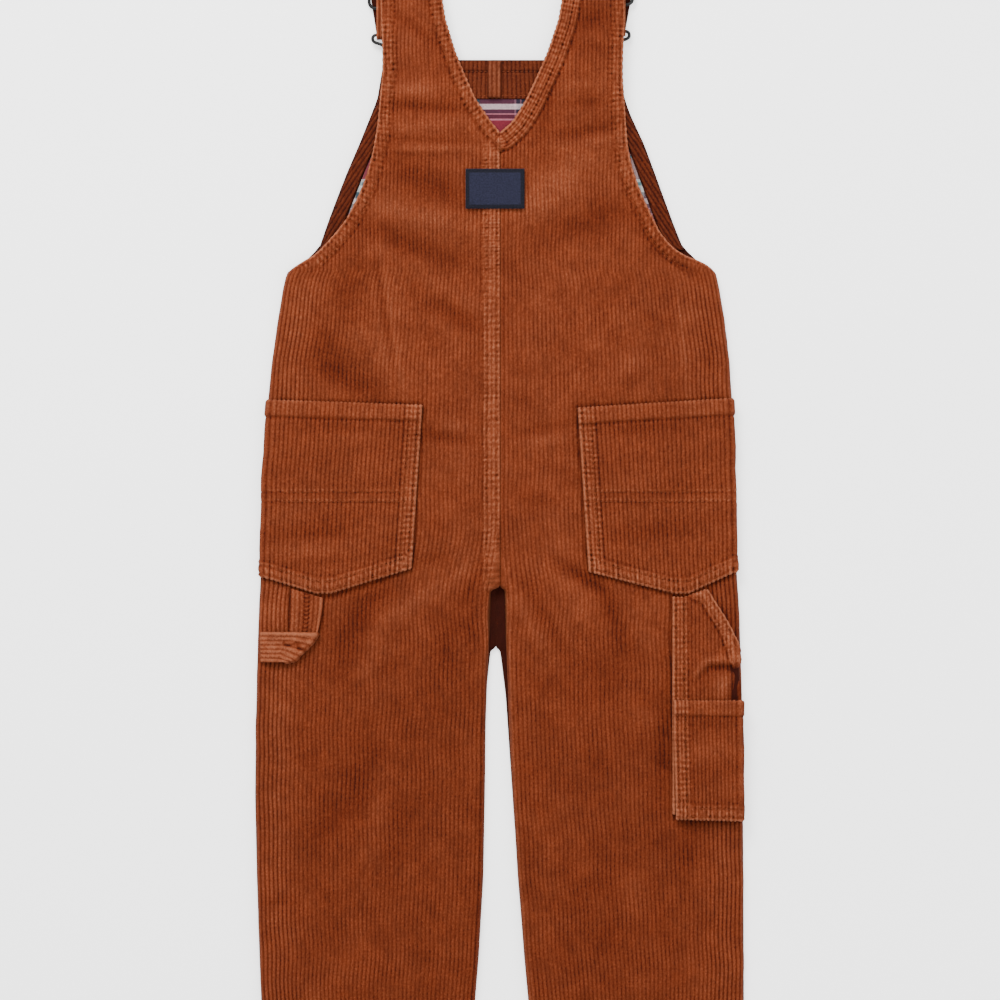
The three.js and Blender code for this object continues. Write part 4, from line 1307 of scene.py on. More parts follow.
def band_rows(share, ribs, fold_x, fold_up, lift):
    """The part that runs from the fold to the side seam, with its other face up. Its end is drawn
    down into the seam."""
    pile_sides, wrong_sides, tones = [], [], []
    edge_x = float(half_at(-1, LOOP["low"])["outer"])
    from_edge = np.abs(fold_x - edge_x) + SIDE_RADIUS * (math.pi / 2 - 1)
    level = mix(LOOP["low"], LOOP["high"], share)
    wide = LOOP["high"] - LOOP["low"]
    rim = hump((1 - share) * wide, 0.6, 0.9)
    for t in np.linspace(0, 1, 30):
        x = edge_x + plan_distance(mix(from_edge, 6.2, t), 1.0)
        up = mix(fold_up, level, min(1.0, 2.5 * t))
        tuck = hump(share * wide, (0.62 - 0.05 * math.sin(20 * t)) * wide, 1.1) * (t < 0.55)
        low = mix(lift, ON_RIBS - 0.6, smooth_step(t, 0.6, 1.0))
        pile_sides.append(ribbon_row(x, up, low))
        wrong_sides.append(ribbon_row(x, up, low + CLOTH + 0.8 * ribs - 0.7 * tuck + 0.3 * rim))
        # The band is lighter, with a painted highlight on its upper rim and painted shade in the tuck; the
        # ripple is random tone.
        tones.append(0.8 + 0.7 * rim - 1.6 * tuck + 0.3 * ripple(x, up, 7, 81))
    return pile_sides, wrong_sides, tones


def ribbon_mesh(name, outer, inner, marks):
    """A closed ribbon from two grids with the same number of points."""
    rows, columns = outer.shape[:2]
    out_no = np.arange(rows * columns).reshape(rows, columns)
    in_no = out_no + out_no.size
    faces = [grid_faces(out_no), grid_faces(in_no)[:, ::-1]]
    rim = np.concatenate([out_no[0], out_no[1:, -1], out_no[-1, -2::-1], out_no[-2:0:-1, 0]])
    rim_in = rim + out_no.size
    faces.append(np.stack([rim, rim_in, np.roll(rim_in, -1), np.roll(rim, -1)], axis=-1))
    points = np.concatenate([outer.reshape(-1, 3), inner.reshape(-1, 3)])
    values = {k: np.concatenate([v.ravel(), v.ravel()]) for k, v in marks.items()}
    return make_mesh(name, points, np.concatenate(faces), values)


def hammer_loop():
    share = np.linspace(0, 1, LOOP["wales"] * LOOP["per_wale"] + 1)
    wale = share * LOOP["wales"]
    to_edge = np.minimum(share, 1 - share) * LOOP["width"]
    ribs = 0.5 * wale_profile(wale) * np.clip(to_edge / WALE_RUN_OUT, 0, 1)
    fold_x = np.interp(share, FOLD_LINE["share"], FOLD_LINE["x"])
    fold_up = np.interp(share, FOLD_LINE["share"], FOLD_LINE["up"])
    high = ON_RIBS + CLOTH + GAP
    pile_sides, wrong_sides, tones = hanging_rows(share, ribs, fold_x, fold_up)
    for t in np.linspace(0.15, 0.85, 5):
        pile_sides.append(ribbon_row(fold_x, fold_up, mix(ON_RIBS + CLOTH, high, t), 0.1))
        out = CLOTH * math.sin(math.pi * t)
        wrong_sides.append(ribbon_row(fold_x, fold_up, mix(ON_RIBS, high + CLOTH, t), out))
        tones.append(0.5 + 0 * share)
    for whole, part in zip((pile_sides, wrong_sides, tones), band_rows(share, ribs, fold_x, fold_up, high)):
        whole.extend(part)
    marks = {"wale": np.repeat(wale[None], len(tones), axis=0), "tone_and_painted_light": np.array(tones)}
    return ribbon_mesh("cloth_hammer_loop", np.array(wrong_sides), np.array(pile_sides), marks)


loop_piece = hammer_loop()
report_piece(loop_piece)

# %% [markdown]
# ## Woven patch
#
# Under the neck a small plain patch is sewn on: a rectangle of tight navy tape with its edges turned
# under and a darker border, puffed a little inside its rows of stitches.

# %% Plain patch
PATCH = {"x": -3.4, "up": 633.0, "width": 40.0, "height": 27.0, "lift": 1.7}


def under_patch(x, up):
    """The height of the patch's under face: it bridges the cords and follows only the large folds."""
    return read(BACK, "top", up, 6) + 0.6 * fold_height(x, up) + PATCH["lift"]


def patch_panel():
    s = np.linspace(-0.5, 0.5, 57)[None, :]
    t = np.linspace(-0.5, 0.5, 39)[:, None]
    x = PATCH["x"] + PATCH["width"] * s + 0 * t
    up = PATCH["up"] + PATCH["height"] * t + 0 * s
    base = under_patch(x, up)
    edge = np.minimum(PATCH["width"] * (0.5 - np.abs(s)), PATCH["height"] * (0.5 - np.abs(t)))
    puff = 0.5 * np.clip(edge, 0, 1) - 0.35 * hump(edge, 1.6, 0.6) + 0.25 * ripple(x, up, 16, 31)
    outer = np.stack([x, up, base + 0.6 + puff], axis=-1)
    inner = np.stack([x, up, base], axis=-1)[:, ::8]
    return shell("woven_patch", outer, inner, {"edge": edge + 0 * x})


patch = patch_panel()
report_piece(patch)

# %% [markdown]
# ## Wire hardware
#
# Each strap ends round the bar of a wire buckle, whose eye closes round a button on the bib, and above
# it runs through a slider. Both are one closed ring of round wire, so each is a curve with a round
# bevel, which is then converted to a mesh. The path is half of the ring, mirrored.

# %% Buckles and sliders
BUCKLE_PATH = [
    (12, 0), (15.4, 0), (16.9, 0.7), (17.6, 2.2), (17.4, 3.8), (16.2, 5.1), (14.0, 5.8), (11.0, 6.8),
    (8.0, 9.2), (5.8, 13), (4.7, 18), (4.6, 24), (4.8, 29), (5.6, 32.2), (7.3, 35.4), (8.1, 38.6),
    (7.6, 41.8), (5.8, 44.6), (2.4, 46.3),
]
SLIDER = {"width": 42.0, "height": 23.0, "corner": 4.0, "above_bar": 17.0}
WIRE_LEVEL = CLOTH + GAP + WIRE


def slider_path():
    """A rectangle with rounded corners, through the middle of the wire."""
    wide, tall, corner = SLIDER["width"] / 2 - WIRE, SLIDER["height"] / 2 - WIRE, SLIDER["corner"]
    path = []
    for along, across, start in ((1, 1, 0), (-1, 1, 90), (-1, -1, 180), (1, -1, 270)):
        for step in (0, 0, 30, 60, 90, 90):
            turn = math.radians(start + step)
            path.append((along * (wide - corner) + corner * math.cos(turn),
                         across * (tall - corner) + corner * math.sin(turn)))
    return path


def bent_wire(name, path, x, up):
    """A closed ring of round wire along a path, placed on the garment."""
    curve = bpy.data.curves.new(name, "CURVE")
    curve.dimensions = "3D"
    curve.bevel_depth = WIRE * MM
    curve.bevel_resolution = 3
    curve.resolution_u = 4
    spline = curve.splines.new("NURBS")
    spline.points.add(len(path) - 1)
    for point, (along, across) in zip(spline.points, path):
        point.co = ((SEAM_X + x + along) * MM, (HEM_Y + up + across) * MM, WIRE_LEVEL * MM, 1)
    spline.order_u = 3
    spline.use_cyclic_u = True
    ring = add_object(name, curve)
    pick(ring)
    bpy.ops.object.convert(target="MESH")
    face_outwards(ring)
    return ring


def add_bar(ring, x, up):
    """The bar across a slider, joined to its ring."""
    bpy.ops.object.select_all(action="DESELECT")
    place = ((SEAM_X + x) * MM, (HEM_Y + up) * MM, WIRE_LEVEL * MM)
    length = (SLIDER["width"] - 2 * WIRE) * MM
    bpy.ops.mesh.primitive_cylinder_add(vertices=16, radius=0.9 * WIRE * MM, depth=length,
                                        location=place, rotation=(0, math.pi / 2, 0))
    bpy.ops.object.transform_apply(location=True, rotation=True, scale=True)
    ring.select_set(True)
    bpy.context.view_layer.objects.active = ring
    bpy.ops.object.join()


wires = {}
for side, name in SIDES.items():
    x, bar_up = STRAPS[side]["x"], STRAPS[side]["bar_up"]
    half_ring = [(a, -b) for a, b in BUCKLE_PATH]
    other_half = [(-a, b) for a, b in reversed(half_ring)]
    wires[f"buckle_{name}"] = bent_wire(f"wire_buckle_{name}", half_ring + other_half, x, bar_up)
    slider_up = bar_up + SLIDER["above_bar"] + SLIDER["height"] / 2
    slider = bent_wire(f"wire_slider_{name}", slider_path(), x, slider_up)
    add_bar(slider, x, slider_up)
    wires[f"slider_{name}"] = slider
for piece in wires.values():
    pick(piece)
    bpy.ops.object.shade_smooth()
    report_piece(piece)

# %% [markdown]
# ## Thread
#
# Topstitching is what makes sewn cloth look sewn. Each stitch is a short bead of thread that comes up
# out of the cloth, lies on the pressed cords and goes down again. There are over a thousand, so each
# has only two dozen faces, and they are made in rows from the same edge lines as the hems.


# %% Rows of stitches
THREAD = 0.24


def shifted(line, away):
    """A line moved to its left by a distance, or to its right if the distance is below zero."""
    line = np.asarray(line, float)
    run = np.gradient(line, axis=0)
    run /= np.maximum(np.linalg.norm(run, axis=1, keepdims=True), 1e-9)
    return line + away * np.stack([-run[:, 1], run[:, 0]], axis=-1)


# Each stitch in five places along it, from one needle hole to the other: where they are, and how far
# below or above the cloth. Round it are five points, as parts of the thread's radius up and sideways.
ALONG_STITCH = np.array([0, 0.2, 0.5, 0.8, 1.0])
STITCH_RISE = np.array([-0.75, -0.15, 0.05, -0.15, -0.75])
ROUND_THREAD = ((1, 0), (0.3, 0.8), (-0.7, 0.6), (-0.7, -0.6), (0.3, -0.8))


def stitch_faces():
    """The faces of one stitch: a cone at each end and two rings of quads between."""
    faces = []
    for k in range(5):
        n = (k + 1) % 5
        faces.append((0, 1 + n, 1 + k, 1 + k))
        faces.append((1 + k, 1 + n, 6 + n, 6 + k))
        faces.append((6 + k, 6 + n, 11 + n, 11 + k))
        faces.append((11 + k, 11 + n, 16, 16))
    return np.array(faces)


def stitch_row(surface, line, pitch=STITCH, length=2.5, start=0.8, thick=THREAD):
    """Points and faces of a row of stitches on a surface, a function of x, up and lift."""
    line = np.asarray(line, float)
    run = np.concatenate([[0], np.cumsum(np.hypot(*np.diff(line, axis=0).T))])
    count = int((run[-1] - start) / pitch)
    if count < 1:
        return np.zeros((0, 3)), np.zeros((0, 4), int)
    s = start + pitch * np.arange(count)[:, None] + length * ALONG_STITCH[None, :]
    x, up = np.interp(s, run, line[:, 0]), np.interp(s, run, line[:, 1])
    rise = STITCH_RISE + 0 * s
    centre, above = surface(x, up, rise), surface(x, up, rise + 0.3)
    normal = above - centre
    normal /= np.linalg.norm(normal, axis=-1, keepdims=True)
    along = np.gradient(centre, axis=1)
    along /= np.linalg.norm(along, axis=-1, keepdims=True)
    sideways = np.cross(along, normal)
    rings = [
        centre[:, ring] + thick * (a * normal[:, ring] + b * sideways[:, ring])
        for ring in (1, 2, 3) for a, b in ROUND_THREAD
    ]
    points = [centre[:, 0], *rings, centre[:, 4]]
    first = len(points) * np.arange(count)[:, None, None]
    return np.stack(points, axis=1).reshape(-1, 3), (stitch_faces()[None] + first).reshape(-1, 4)


def sewn(name, rows):
    """Joins rows of stitches into one piece."""
    starts = np.cumsum([0] + [len(points) for points, _ in rows[:-1]])
    points = np.concatenate([points for points, _ in rows])
    faces = np.concatenate([faces + start for (_, faces), start in zip(rows, starts)])
    return new_piece(name, points, [f[:3] if f[2] == f[3] else f for f in faces.tolist()], {})


# Thread lies this far above the plain cloth, on cords that it presses down.
PRESSED_CORDS = 0.42


def on_half(side):
    """The surface of a back half at the height of its pressed cords."""
    return lambda x, up, rise: on_back(side, x, up, PRESSED_CORDS + rise)


def straight_line(x0, x1, up0, up1, step=2.0):
    count = max(int(math.hypot(x1 - x0, up1 - up0) / step), 2)
    return np.column_stack([np.linspace(x0, x1, count), np.linspace(up0, up1, count)])


def level_line(x0, x1, up):
    return straight_line(x0, x1, up, up)


# %% Stitches on the back
def within(side, line):
    """The part of a line that lies on its own back half."""
    half = half_at(side, line[:, 1])
    inner, outer = side * half["inner"] + 0.6, side * half["outer"] - 0.6
    return line[(side * line[:, 0] > inner) & (side * line[:, 0] < outer)]


BARTACK_PITCH = 0.75


def bartack(surface, x, up, wide, tall):
    """A few stitches close together across a seam, to hold it where it would tear."""
    heights = up - tall / 2 + BARTACK_PITCH * np.arange(int(tall / BARTACK_PITCH))
    return [
        stitch_row(surface, [(x - wide / 2, h), (x + wide / 2, h + 0.3)], wide, wide * 0.95, 0.0)
        for h in heights
    ]


thread = {}
for side, name in SIDES.items():
    rows = bartack(on_half(side), 0.3, 661, 4.2, 5.5) if side < 0 else []
    for away in HEM_ROWS:
        rows.append(stitch_row(on_half(side), shifted(LINES[f"armhole_{name}"], side * away)[2:]))
        neck = within(side, shifted(LINES[f"neck_{name}"], -side * away))
        rows.append(stitch_row(on_half(side), neck))
    if side < 0:
        rows += bartack(on_half(side), -5.8, CROTCH_UP + 5, 7.0, 5.0)
        for away in FELL_ROWS:
            seam = straight_line(-away, -away, CROTCH_UP + 1, V_UP - 2)
            rows.append(stitch_row(on_half(side), seam))
    thread[f"back_{name}"] = sewn(f"thread_back_{name}", rows)
    report_piece(thread[f"back_{name}"])


# %% Stitches on the pockets
def on_pocket(shape, sag):
    """The surface of a pocket, at the height of its pressed cords."""
    def surface(x, up, rise):
        relief = 0.1 + 0.22 * ripple(x, up, 45, 21) + 0.12 * ripple(x, up, 14, 22)
        if sag:
            relief = relief + sag(x, up)
        return on_back(shape["side"], x, up, shape["lift"] + CLOTH + relief + PRESSED_CORDS + rise)

    return surface


def row_up_the_middle(shape, away):
    """A row of thread at a distance from a pocket's edge near the middle, as points x and up."""
    ups = np.linspace(float(shape["bottom"](0.0)) + 1.0, float(shape["top"](0.0)) - 0.6, 40)
    return np.column_stack([shape["inner"](ups) + shape["side"] * away, ups])


def row_across(shape, from_bottom):
    """A row across a pocket, with its distance from the bottom as a function of the share."""
    share = np.linspace(0.01, 0.9, 50)
    tall = shape["top"](share) - shape["bottom"](share)
    x, up, _ = pocket_points(shape, share, from_bottom(share, tall) / tall)
    return np.column_stack([x, up])


def pocket_rows(shape):
    """All the rows of a pocket as lines: up its middle edge, along its bottom, across and at its mouth."""
    lines = [row_up_the_middle(shape, away) for away in POCKET_ROWS]
    lines += [row_across(shape, lambda s, tall: away + 0 * s) for away in POCKET_ROWS]
    for row in shape["cross_rows"]:
        lines.append(row_across(shape, lambda s, tall: row - shape["bottom"](s)))
    if shape["hem"]:
        return lines + [row_across(shape, lambda s, tall: tall - (shape["hem"] - 1.2))]
    return lines + [row_across(shape, lambda s, tall: tall - 7.5)[20:]]


for name, (shape, sag) in POCKET_SHAPES.items():
    surface = on_pocket(shape, sag)
    rows = [stitch_row(surface, line) for line in pocket_rows(shape)]
    if shape["hem"]:
        corner = float(shape["top"](0.0))
        corner_x = float(shape["inner"](corner - 4)) + shape["side"] * 5.4
        rows += bartack(surface, corner_x, corner - 4.2, 5.6, 3.2)
    thread[name] = sewn(f"thread_{name}", rows)
    report_piece(thread[name])


# %% Stitches on the loop, the patch and the facing
def on_patch(x, up, rise):
    return np.stack([x, up, under_patch(x, up) + 0.85 + 0.25 * ripple(x, up, 16, 31) + rise], axis=-1)


def on_loop(x, up, rise):
    return on_back(-1, x, up, 2 * CLOTH + ON_RIBS + GAP + 0.45 + rise, relief=False)


def on_facing(x, up, rise):
    z = bib_base(up) + FACING_LIFT + FACING["thick"] + 0.3 + rise
    return np.stack([x, up, z], axis=-1)


patch_x, patch_up = PATCH["width"] / 2 - 1.6, PATCH["height"] / 2 - 1.6
corners = [(-1, -1), (1, -1), (1, 1), (-1, 1), (-1, -1)]
around = [(PATCH["x"] + a * patch_x, PATCH["up"] + b * patch_up) for a, b in corners]
thread["back_patch"] = sewn("thread_patch", [
    stitch_row(on_patch, [a, b], 2.2, 1.8, 0.4, 0.22)
    for a, b in zip(around[:-1], around[1:])
])
thread["hammer_loop"] = sewn("thread_hammer_loop", [
    stitch_row(on_loop, level_line(-157, -128, LOOP["high"] - 3)),
    stitch_row(on_loop, level_line(-157, -141, LOOP["low"] + 3)),
])
thread["facing_top"] = sewn("thread_facing", [
    stitch_row(on_facing, level_line(-74, 76, TOP_ROW_UP)),
    stitch_row(on_facing, level_line(-78, 79, FACING_LOW + 2)),
])
for name in ("back_patch", "hammer_loop", "facing_top"):
    report_piece(thread[name])

# %% [markdown]
# ## Finishes
#
# Corduroy looks deep because its valleys are cut low and hold shadow, while the crests of the pile catch
# the light and scatter it softly, like velvet. The colour paints this as well: painted shade in the valleys
# and a painted highlight on the crests. The material follows the wales through an attribute that counts
# them, so that colour and cords stay together over every fold. Noise at three sizes breaks it up: single
# tufts of pile, worn places on the crests, and large faded patches.


# %% A small kit for materials
def new_material(name):
    """A material's nodes and links with its shader, and the place on the object to start from."""
    material = bpy.data.materials.new(name)
    material.use_nodes = True
    nodes = material.node_tree.nodes
    place = nodes.new("ShaderNodeTexCoord").outputs["Object"]
    return Kit(material, nodes, material.node_tree.links, nodes["Principled BSDF"], place)


class Kit(namedtuple("Kit", "material nodes links shader place")):
    """Short names for the few kinds of node that cloth and wire need."""

    def give(self, socket, value):
        """Links a socket to another one, or sets it to a number or a colour."""
        if isinstance(value, bpy.types.NodeSocket):
            self.links.new(value, socket)
        elif isinstance(value, tuple):
            socket.default_value = (*value, 1)
        else:
            socket.default_value = value

    def attribute(self, name):
        node = self.nodes.new("ShaderNodeAttribute")
        node.attribute_name = name
        return node.outputs["Fac"]

    def x_and_y(self):
        split = self.nodes.new("ShaderNodeSeparateXYZ")
        self.links.new(self.place, split.inputs[0])
        return split.outputs["X"], split.outputs["Y"]

    def maths(self, operation, *values, clamp=False):
        node = self.nodes.new("ShaderNodeMath")
        node.operation = operation
        node.use_clamp = clamp
        for socket, value in zip(node.inputs, values):
            self.give(socket, value)
        return node.outputs[0]

    def times(self, a, b):
        return self.maths("MULTIPLY", a, b)

    def plus(self, a, b, clamp=False):
        return self.maths("ADD", a, b, clamp=clamp)

    def waves(self, value, length_mm):
        """A sine wave of a length along a coordinate in metres."""
        return self.maths("SINE", self.times(value, 2 * math.pi / MM / length_mm))

    def noise(self, size_mm, detail=3.0, rough=0.55, stretch=(1, 1, 1)):
        """Noise with features of about a size in millimetres."""
        mapping = self.nodes.new("ShaderNodeMapping")
        mapping.inputs["Scale"].default_value = [1 / MM / size_mm * s for s in stretch]
        self.links.new(self.place, mapping.inputs["Vector"])
        node = self.nodes.new("ShaderNodeTexNoise")
        for key, value in (("Scale", 1.0), ("Detail", detail), ("Roughness", rough)):
            node.inputs[key].default_value = value
        self.links.new(mapping.outputs[0], node.inputs["Vector"])
        return node.outputs["Fac"]

    def ramp(self, factor, stops, steps="LINEAR"):
        """A colour ramp from a list of (place, colour)."""
        node = self.nodes.new("ShaderNodeValToRGB")
        node.color_ramp.interpolation = steps
        elements = node.color_ramp.elements
        while len(elements) < len(stops):
            elements.new(0.5)
        for element, (place, colour) in zip(elements, stops):
            element.position = place
            element.color = (*colour, 1)
        self.links.new(factor, node.inputs["Fac"])
        return node.outputs["Color"]

    def blend(self, factor, a, b, mode="MIX"):
        node = self.nodes.new("ShaderNodeMix")
        node.data_type = "RGBA"
        node.blend_type = mode
        for index, value in ((0, factor), (6, a), (7, b)):
            self.give(node.inputs[index], value)
        return node.outputs[2]

    def shaded(self, colour, factor, stops):
        """A colour multiplied by a ramp."""
        return self.blend(1.0, colour, self.ramp(factor, stops), "MULTIPLY")

    def bump(self, height, depth_mm, strength, normal=None):
        node = self.nodes.new("ShaderNodeBump")
        node.inputs["Strength"].default_value = strength
        node.inputs["Distance"].default_value = depth_mm * MM
        self.links.new(height, node.inputs["Height"])
        if normal is not None:
            self.links.new(normal, node.inputs["Normal"])
        return node.outputs["Normal"]

    def finish(self, colour, normal, roughness, specular=0.1):
        for key, value in (("Base Color", colour), ("Normal", normal), ("Roughness", roughness),
                           ("Specular IOR Level", specular)):
            self.give(self.shader.inputs[key], value)
        return self.material

    def sheen(self, weight, roughness, tint):
        """The soft light that fibres scatter at a grazing angle."""
        for key, value in (("Weight", weight), ("Roughness", roughness), ("Tint", tint)):
            self.give(self.shader.inputs[f"Sheen {key}"], value)


def grey(value):
    return (value, value, value)


# %% Corduroy
# The colours of the cord from its darkest place, painted shade in pits and valleys, to its most rubbed and
# lit one, a painted highlight on the crests, and where each lies on the ramp.
CORD_PAINTED_SHADE_TO_HIGHLIGHT = [
    (0.0, (0.020, 0.0016, 0.0002)),
    (0.2, (0.060, 0.0072, 0.0011)),
    (0.45, (0.094, 0.0168, 0.0048)),
    (0.68, (0.131, 0.0296, 0.0105)),
    (1.0, (0.212, 0.0660, 0.0310)),
]
WORN_SPOTS = [(0.35, (0.83, 0.80, 0.78)), (0.65, (1.1, 1.12, 1.14))]
FADED_AREAS = [(0.35, (0.93, 0.92, 0.91)), (0.65, (1.05, 1.06, 1.07))]
# What a point's colour on that ramp is made of: how high it is on its cord, which paints shade into the
# valleys and a highlight onto the crests, its tuft, and its tone, which is painted light and shade with
# some random tone.
FROM_CORD, FROM_TUFT, FROM_TONE, BASE_LIGHT = 0.44, 0.86, 0.34, 0.17


# shade scales every colour of the cloth; below 1 it makes a darker copy, painted shade.
def corduroy(name, shade=1.0):
    kit = new_material(name)
    # The tone attribute is painted light and shade: painted shade in troughs, grooves, pits and beside
    # sewn-on edges, and painted highlights on ridges and rolled edges, with some random tone.
    wale, tone_and_painted_light = kit.attribute("wale"), kit.attribute("tone_and_painted_light")
    tuft = kit.noise(1.1, 3.0, 0.6, (1, 0.75, 1))
    worn = kit.noise(5.0, 4.0, 0.6, (1, 0.6, 1))
    faded = kit.noise(45.0, 3.0, 0.5)
    uneven_tuft = kit.maths("SUBTRACT", tuft, 0.5)
    count = kit.plus(wale, kit.times(uneven_tuft, 0.22))
    wave = kit.maths("ABSOLUTE", kit.maths("SINE", kit.times(count, math.pi)))
    height = kit.maths("POWER", wave, WALE_ROUNDNESS)
    lit = kit.plus(kit.times(height, FROM_CORD), kit.times(uneven_tuft, FROM_TUFT))
    lit = kit.plus(lit, kit.times(tone_and_painted_light, FROM_TONE))
    lit = kit.plus(lit, BASE_LIGHT, clamp=True)
    colour = kit.ramp(lit, [(place, tuple(c * shade for c in colour)) for place, colour in CORD_PAINTED_SHADE_TO_HIGHLIGHT])
    colour = kit.shaded(colour, worn, WORN_SPOTS)
    colour = kit.shaded(colour, faded, FADED_AREAS)
    nap = kit.noise(0.45, 2.0, 0.7, (1, 0.7, 1))
    normal = kit.bump(tuft, 0.4, 0.6, kit.bump(nap, 0.25, 0.6))
    kit.sheen(0.09, 0.45, (0.9, 0.28, 0.1))
    return kit.finish(colour, normal, 0.92)


# %% Checked lining
# A brushed cotton check: the same run of stripes across and along, woven through each other. The run
# starts where the stripes that show through the neck lie in the photo.
CRIMSON, TEAL, INK = (0.16, 0.012, 0.024), (0.03, 0.10, 0.11), (0.015, 0.013, 0.03)
ROSE, PALE = (0.42, 0.16, 0.20), (0.5, 0.48, 0.46)
CHECK_STRIPES = [
    (0.0, CRIMSON), (0.22, TEAL), (0.25, CRIMSON), (0.62, ROSE), (0.64, (0.03, 0.008, 0.02)),
    (0.68, ROSE), (0.692, (0.012, 0.012, 0.03)), (0.735, (0.52, 0.42, 0.43)), (0.795, INK),
    (0.86, PALE), (0.93, (0.04, 0.16, 0.18)), (0.965, PALE),
]
CHECK_REPEAT = 64.0
CHECK_START = {"X": 29.5, "Y": -244.65}
TWILL_LINE = 0.9


def stripes(kit, value, shift_mm):
    """Constant stripes that repeat along a coordinate in metres."""
    turns = kit.times(kit.plus(value, shift_mm * MM), 1 / MM / CHECK_REPEAT)
    return kit.ramp(kit.maths("FRACT", turns), CHECK_STRIPES, "CONSTANT")


def lining_cloth():
    kit = new_material("brushed_check")
    x, y = kit.x_and_y()
    warp, weft = stripes(kit, x, CHECK_START["X"]), stripes(kit, y, CHECK_START["Y"])
    lines = kit.waves(kit.plus(x, y), TWILL_LINE)
    colour = kit.blend(kit.plus(kit.times(lines, 0.25), 0.68, clamp=True), warp, weft)
    fluff = kit.noise(1.2, 4.0, 0.7)
    # The fluff varies the check at random; its ramp stays well below 1, so it also darkens the whole
    # lining, painted shade inside the bib.
    colour = kit.shaded(colour, fluff, [(0.3, grey(0.5)), (0.7, grey(0.8))])
    normal = kit.bump(fluff, 0.3, 0.5, kit.bump(lines, 0.1, 0.5))
    kit.sheen(0.3, 0.5, (0.9, 0.8, 0.8))
    return kit.finish(colour, normal, 0.95)


# %% Patch, thread and wire
def patch_cloth():
    kit = new_material("woven_navy_tape")
    x, y = kit.x_and_y()
    weave = kit.times(kit.waves(x, 0.8), kit.waves(y, 0.6))
    inside = kit.maths("GREATER_THAN", kit.attribute("edge"), 2.6)
    base = kit.blend(inside, (0.0035, 0.0035, 0.007), (0.0085, 0.0088, 0.020))
    level = kit.plus(kit.times(weave, 0.2), kit.noise(1.0, 3.0, 0.6))
    colour = kit.shaded(base, level, [(0.25, grey(0.6)), (0.75, grey(1.7))])
    kit.sheen(0.15, 0.4, (0.6, 0.65, 0.8))
    return kit.finish(colour, kit.bump(weave, 0.12, 0.8), 0.7)


def thread_material(name, dark, light):
    kit = new_material(name)
    strand = kit.noise(0.5, 3.0, 0.6)
    colour = kit.ramp(strand, [(0.3, dark), (0.7, light)])
    kit.sheen(0.05, 0.4, (1.0, 0.5, 0.3))
    return kit.finish(colour, kit.bump(strand, 0.1, 0.6), 0.7)


def wire_material():
    kit = new_material("black_enamelled_wire")
    orange_peel = kit.noise(0.8, 3.0, 0.5)
    scuffs = kit.noise(6.0, 5.0, 0.65)
    colour = kit.ramp(scuffs, [(0.55, grey(0.003)), (0.8, (0.012, 0.011, 0.010))])
    rough = kit.plus(kit.times(scuffs, 0.3), 0.3)
    return kit.finish(colour, kit.bump(orange_peel, 0.03, 0.4), rough, specular=0.2)


FINISHES = {
    "corduroy": corduroy("rust_corduroy"),
    # The facing is the same corduroy painted darker: painted shade inside the bib.
    "facing": corduroy("rust_corduroy_facing_painted_shade", 0.7),
    "lining": lining_cloth(),
    "patch": patch_cloth(),
    "rust_thread": thread_material("rust_thread", (0.07, 0.013, 0.0035), (0.17, 0.038, 0.011)),
    "navy_thread": thread_material("navy_thread", (0.004, 0.004, 0.008), (0.013, 0.013, 0.026)),
    "wire": wire_material(),
}
print("finishes:", ", ".join(m.name for m in bpy.data.materials))

# %% [markdown]
# ## Dressing the frame
#
# Each cloth piece stands for the solid it was built round and rides on the garment's one body. The cut of
# every sheet is listed with it: the size of the cloth before it was sewn, without turnings.

# %% Pieces, finishes and cuts
# Each sheet with its finish's slot, its cut (width and length in metres, and its flat area in square
# metres) and what it lies on.
SHEETS = {
    "back_left": (backs[-1], "corduroy", (0.167, 0.886), 0.1110, ("front_left", "bib")),
    "back_right": (backs[1], "corduroy", (0.168, 0.886), 0.1115, ("front_right", "bib")),
    "front_left": (fronts[0], "corduroy", (0.165, 0.505), 0.0795, ("studio_floor",)),
    "front_right": (fronts[1], "corduroy", (0.169, 0.505), 0.0810, ("studio_floor",)),
    "bib": (bib, "corduroy", (0.313, 0.216), 0.0545, ("studio_floor",)),
    "facing_top": (facings["facing_top"], "facing", (0.167, 0.0265), 0.0043, ("bib",)),
    "facing_left": (facings["facing_left"], "facing", (0.0115, 0.115), 0.00112, ("bib",)),
    "facing_right": (facings["facing_right"], "facing", (0.0115, 0.115), 0.00112, ("bib",)),
    "facing_tab": (facings["facing_tab"], "facing", (0.010, 0.026), 0.00025, ("facing_top",)),
    "bib_lining": (lining, "lining", (0.293, 0.174), 0.0385, ("bib",)),
    "back_pocket_left": (pockets["back_pocket_left"], "corduroy", (0.112, 0.134), 0.0128,
                         ("back_left",)),
    "back_pocket_right": (pockets["back_pocket_right"], "corduroy", (0.112, 0.134), 0.0128,
                          ("back_right",)),
    "tool_pocket": (pockets["tool_pocket"], "corduroy", (0.049, 0.153), 0.0066, ("back_right",)),
    "small_pocket": (pockets["small_pocket"], "corduroy", (0.049, 0.082), 0.0040, ("tool_pocket",)),
    "hammer_loop": (loop_piece, "corduroy", (0.023, 0.080), 0.0017, ("back_left",)),
    "back_patch": (patch, "patch", (0.040, 0.027), 0.00108, ("back_left", "back_right")),
}


def finish_with(piece, finish):
    """Gives a piece its finish in place of any other."""
    piece.data.materials.clear()
    piece.data.materials.append(FINISHES[finish])


for node, (piece, slot, *_) in SHEETS.items():
    finish_with(piece, slot)
    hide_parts(node)
    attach(piece, "root")
    half_surface = sum(p.area for p in piece.data.polygons) / 2
    print(f"{node}: half surface {half_surface * 1e4:.1f} cm2")

for node, piece in thread.items():
    finish_with(piece, "navy_thread" if node == "back_patch" else "rust_thread")
    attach(piece, "root")

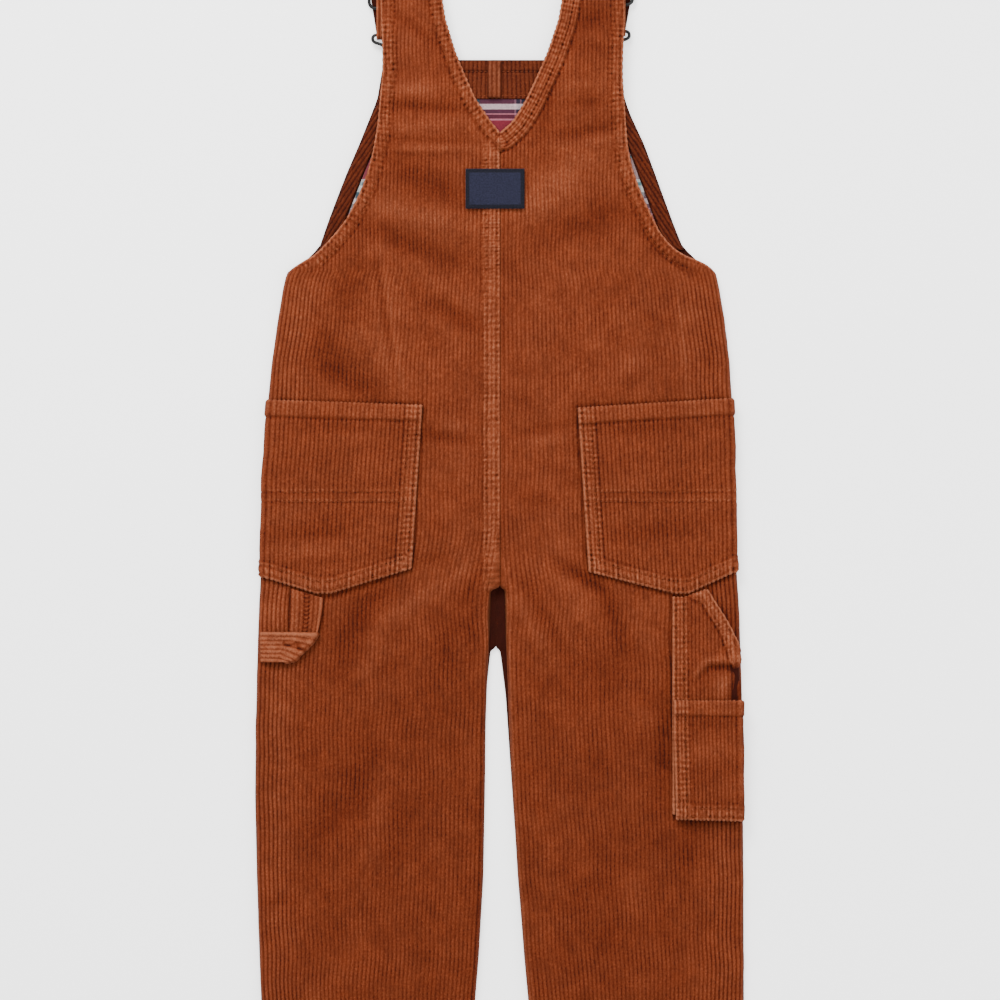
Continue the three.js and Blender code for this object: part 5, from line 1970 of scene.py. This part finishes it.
for node, (piece, _, flat, area, under) in SHEETS.items():
    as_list(under)

for node, piece in wires.items():
    finish_with(piece, "wire")
    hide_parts(node)
    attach(piece, "root")

# The buttons keep their CAD shape, a turned disc on a shank, and only get the enamel.
for node in ("button_left", "button_right"):
    finish_with(frame["nodes"][node], "wire")

# %% [markdown]
# ## Set
#
# The picture is a cut-out on white, taken from straight above with a long lens. A pale floor, one wide
# soft light above the shoulders and a weaker one from the other side keep the shadows short and soft.

# %% Floor, light and camera
FLOOR_GAP = 0.0004
FLOOR_GLOW = 0.9
bpy.ops.object.select_all(action="DESELECT")
bpy.ops.mesh.primitive_plane_add(size=8, location=(0, 0, -FLOOR_GAP))
floor = bpy.context.object
floor.name = "studio_floor"
paint = new_material("pale_floor")
pale = paint.ramp(paint.noise(300.0), [(0.3, grey(0.93)), (0.7, grey(0.95))])
for key, value in (("Base Color", pale), ("Roughness", 0.8), ("Emission Color", (1.0, 1.0, 1.0)),
                   ("Emission Strength", FLOOR_GLOW)):
    paint.give(paint.shader.inputs[key], value)
floor.data.materials.append(paint.material)


def soft_light(name, place, size, power):
    """A wide soft light that looks at the middle of the garment."""
    light = bpy.data.lights.new(name, "AREA")
    light.shape = "RECTANGLE"
    light.size, light.size_y = size
    light.energy = power
    lamp = add_object(name, light)
    lamp.location = place
    lamp.rotation_euler = (-Vector(place)).to_track_quat("-Z", "Y").to_euler()


soft_light("key_light", (-0.55, 1.5, 1.35), (1.1, 0.8), 75)
soft_light("fill_light", (1.2, -0.6, 1.8), (2.0, 2.0), 28)
soft_light("top_light", (0, 0.1, 2.6), (2.4, 2.4), 40)
world = bpy.data.worlds.new("studio")
world.use_nodes = True
background = world.node_tree.nodes["Background"]
background.inputs["Color"].default_value = (1, 1, 1, 1)
background.inputs["Strength"].default_value = 1.0
bpy.context.scene.world = world

# The picture is 1000 pixels wide. The hems lie 1120 pixels below its top edge at that scale, which
# holds at the height of the cloth.
PIXEL, PICTURE, HEM_PIXEL = 0.68, 1000, 1120
CLOTH_LEVEL = 0.008
LENS, SENSOR = 120.0, 36.0
camera_data = bpy.data.cameras.new("photo_camera")
camera_data.lens = LENS
camera_data.sensor_width = SENSOR
camera_data.sensor_fit = "HORIZONTAL"
camera = add_object("photo_camera", camera_data)
middle_up = (HEM_PIXEL - PICTURE / 2) * PIXEL
distance = PICTURE * PIXEL * LENS / SENSOR * MM
camera.location = (SEAM_X * MM, (HEM_Y + middle_up) * MM, distance + CLOTH_LEVEL)
bpy.context.scene.camera = camera
print(f"camera {camera.location.z:.3f} m above the floor")
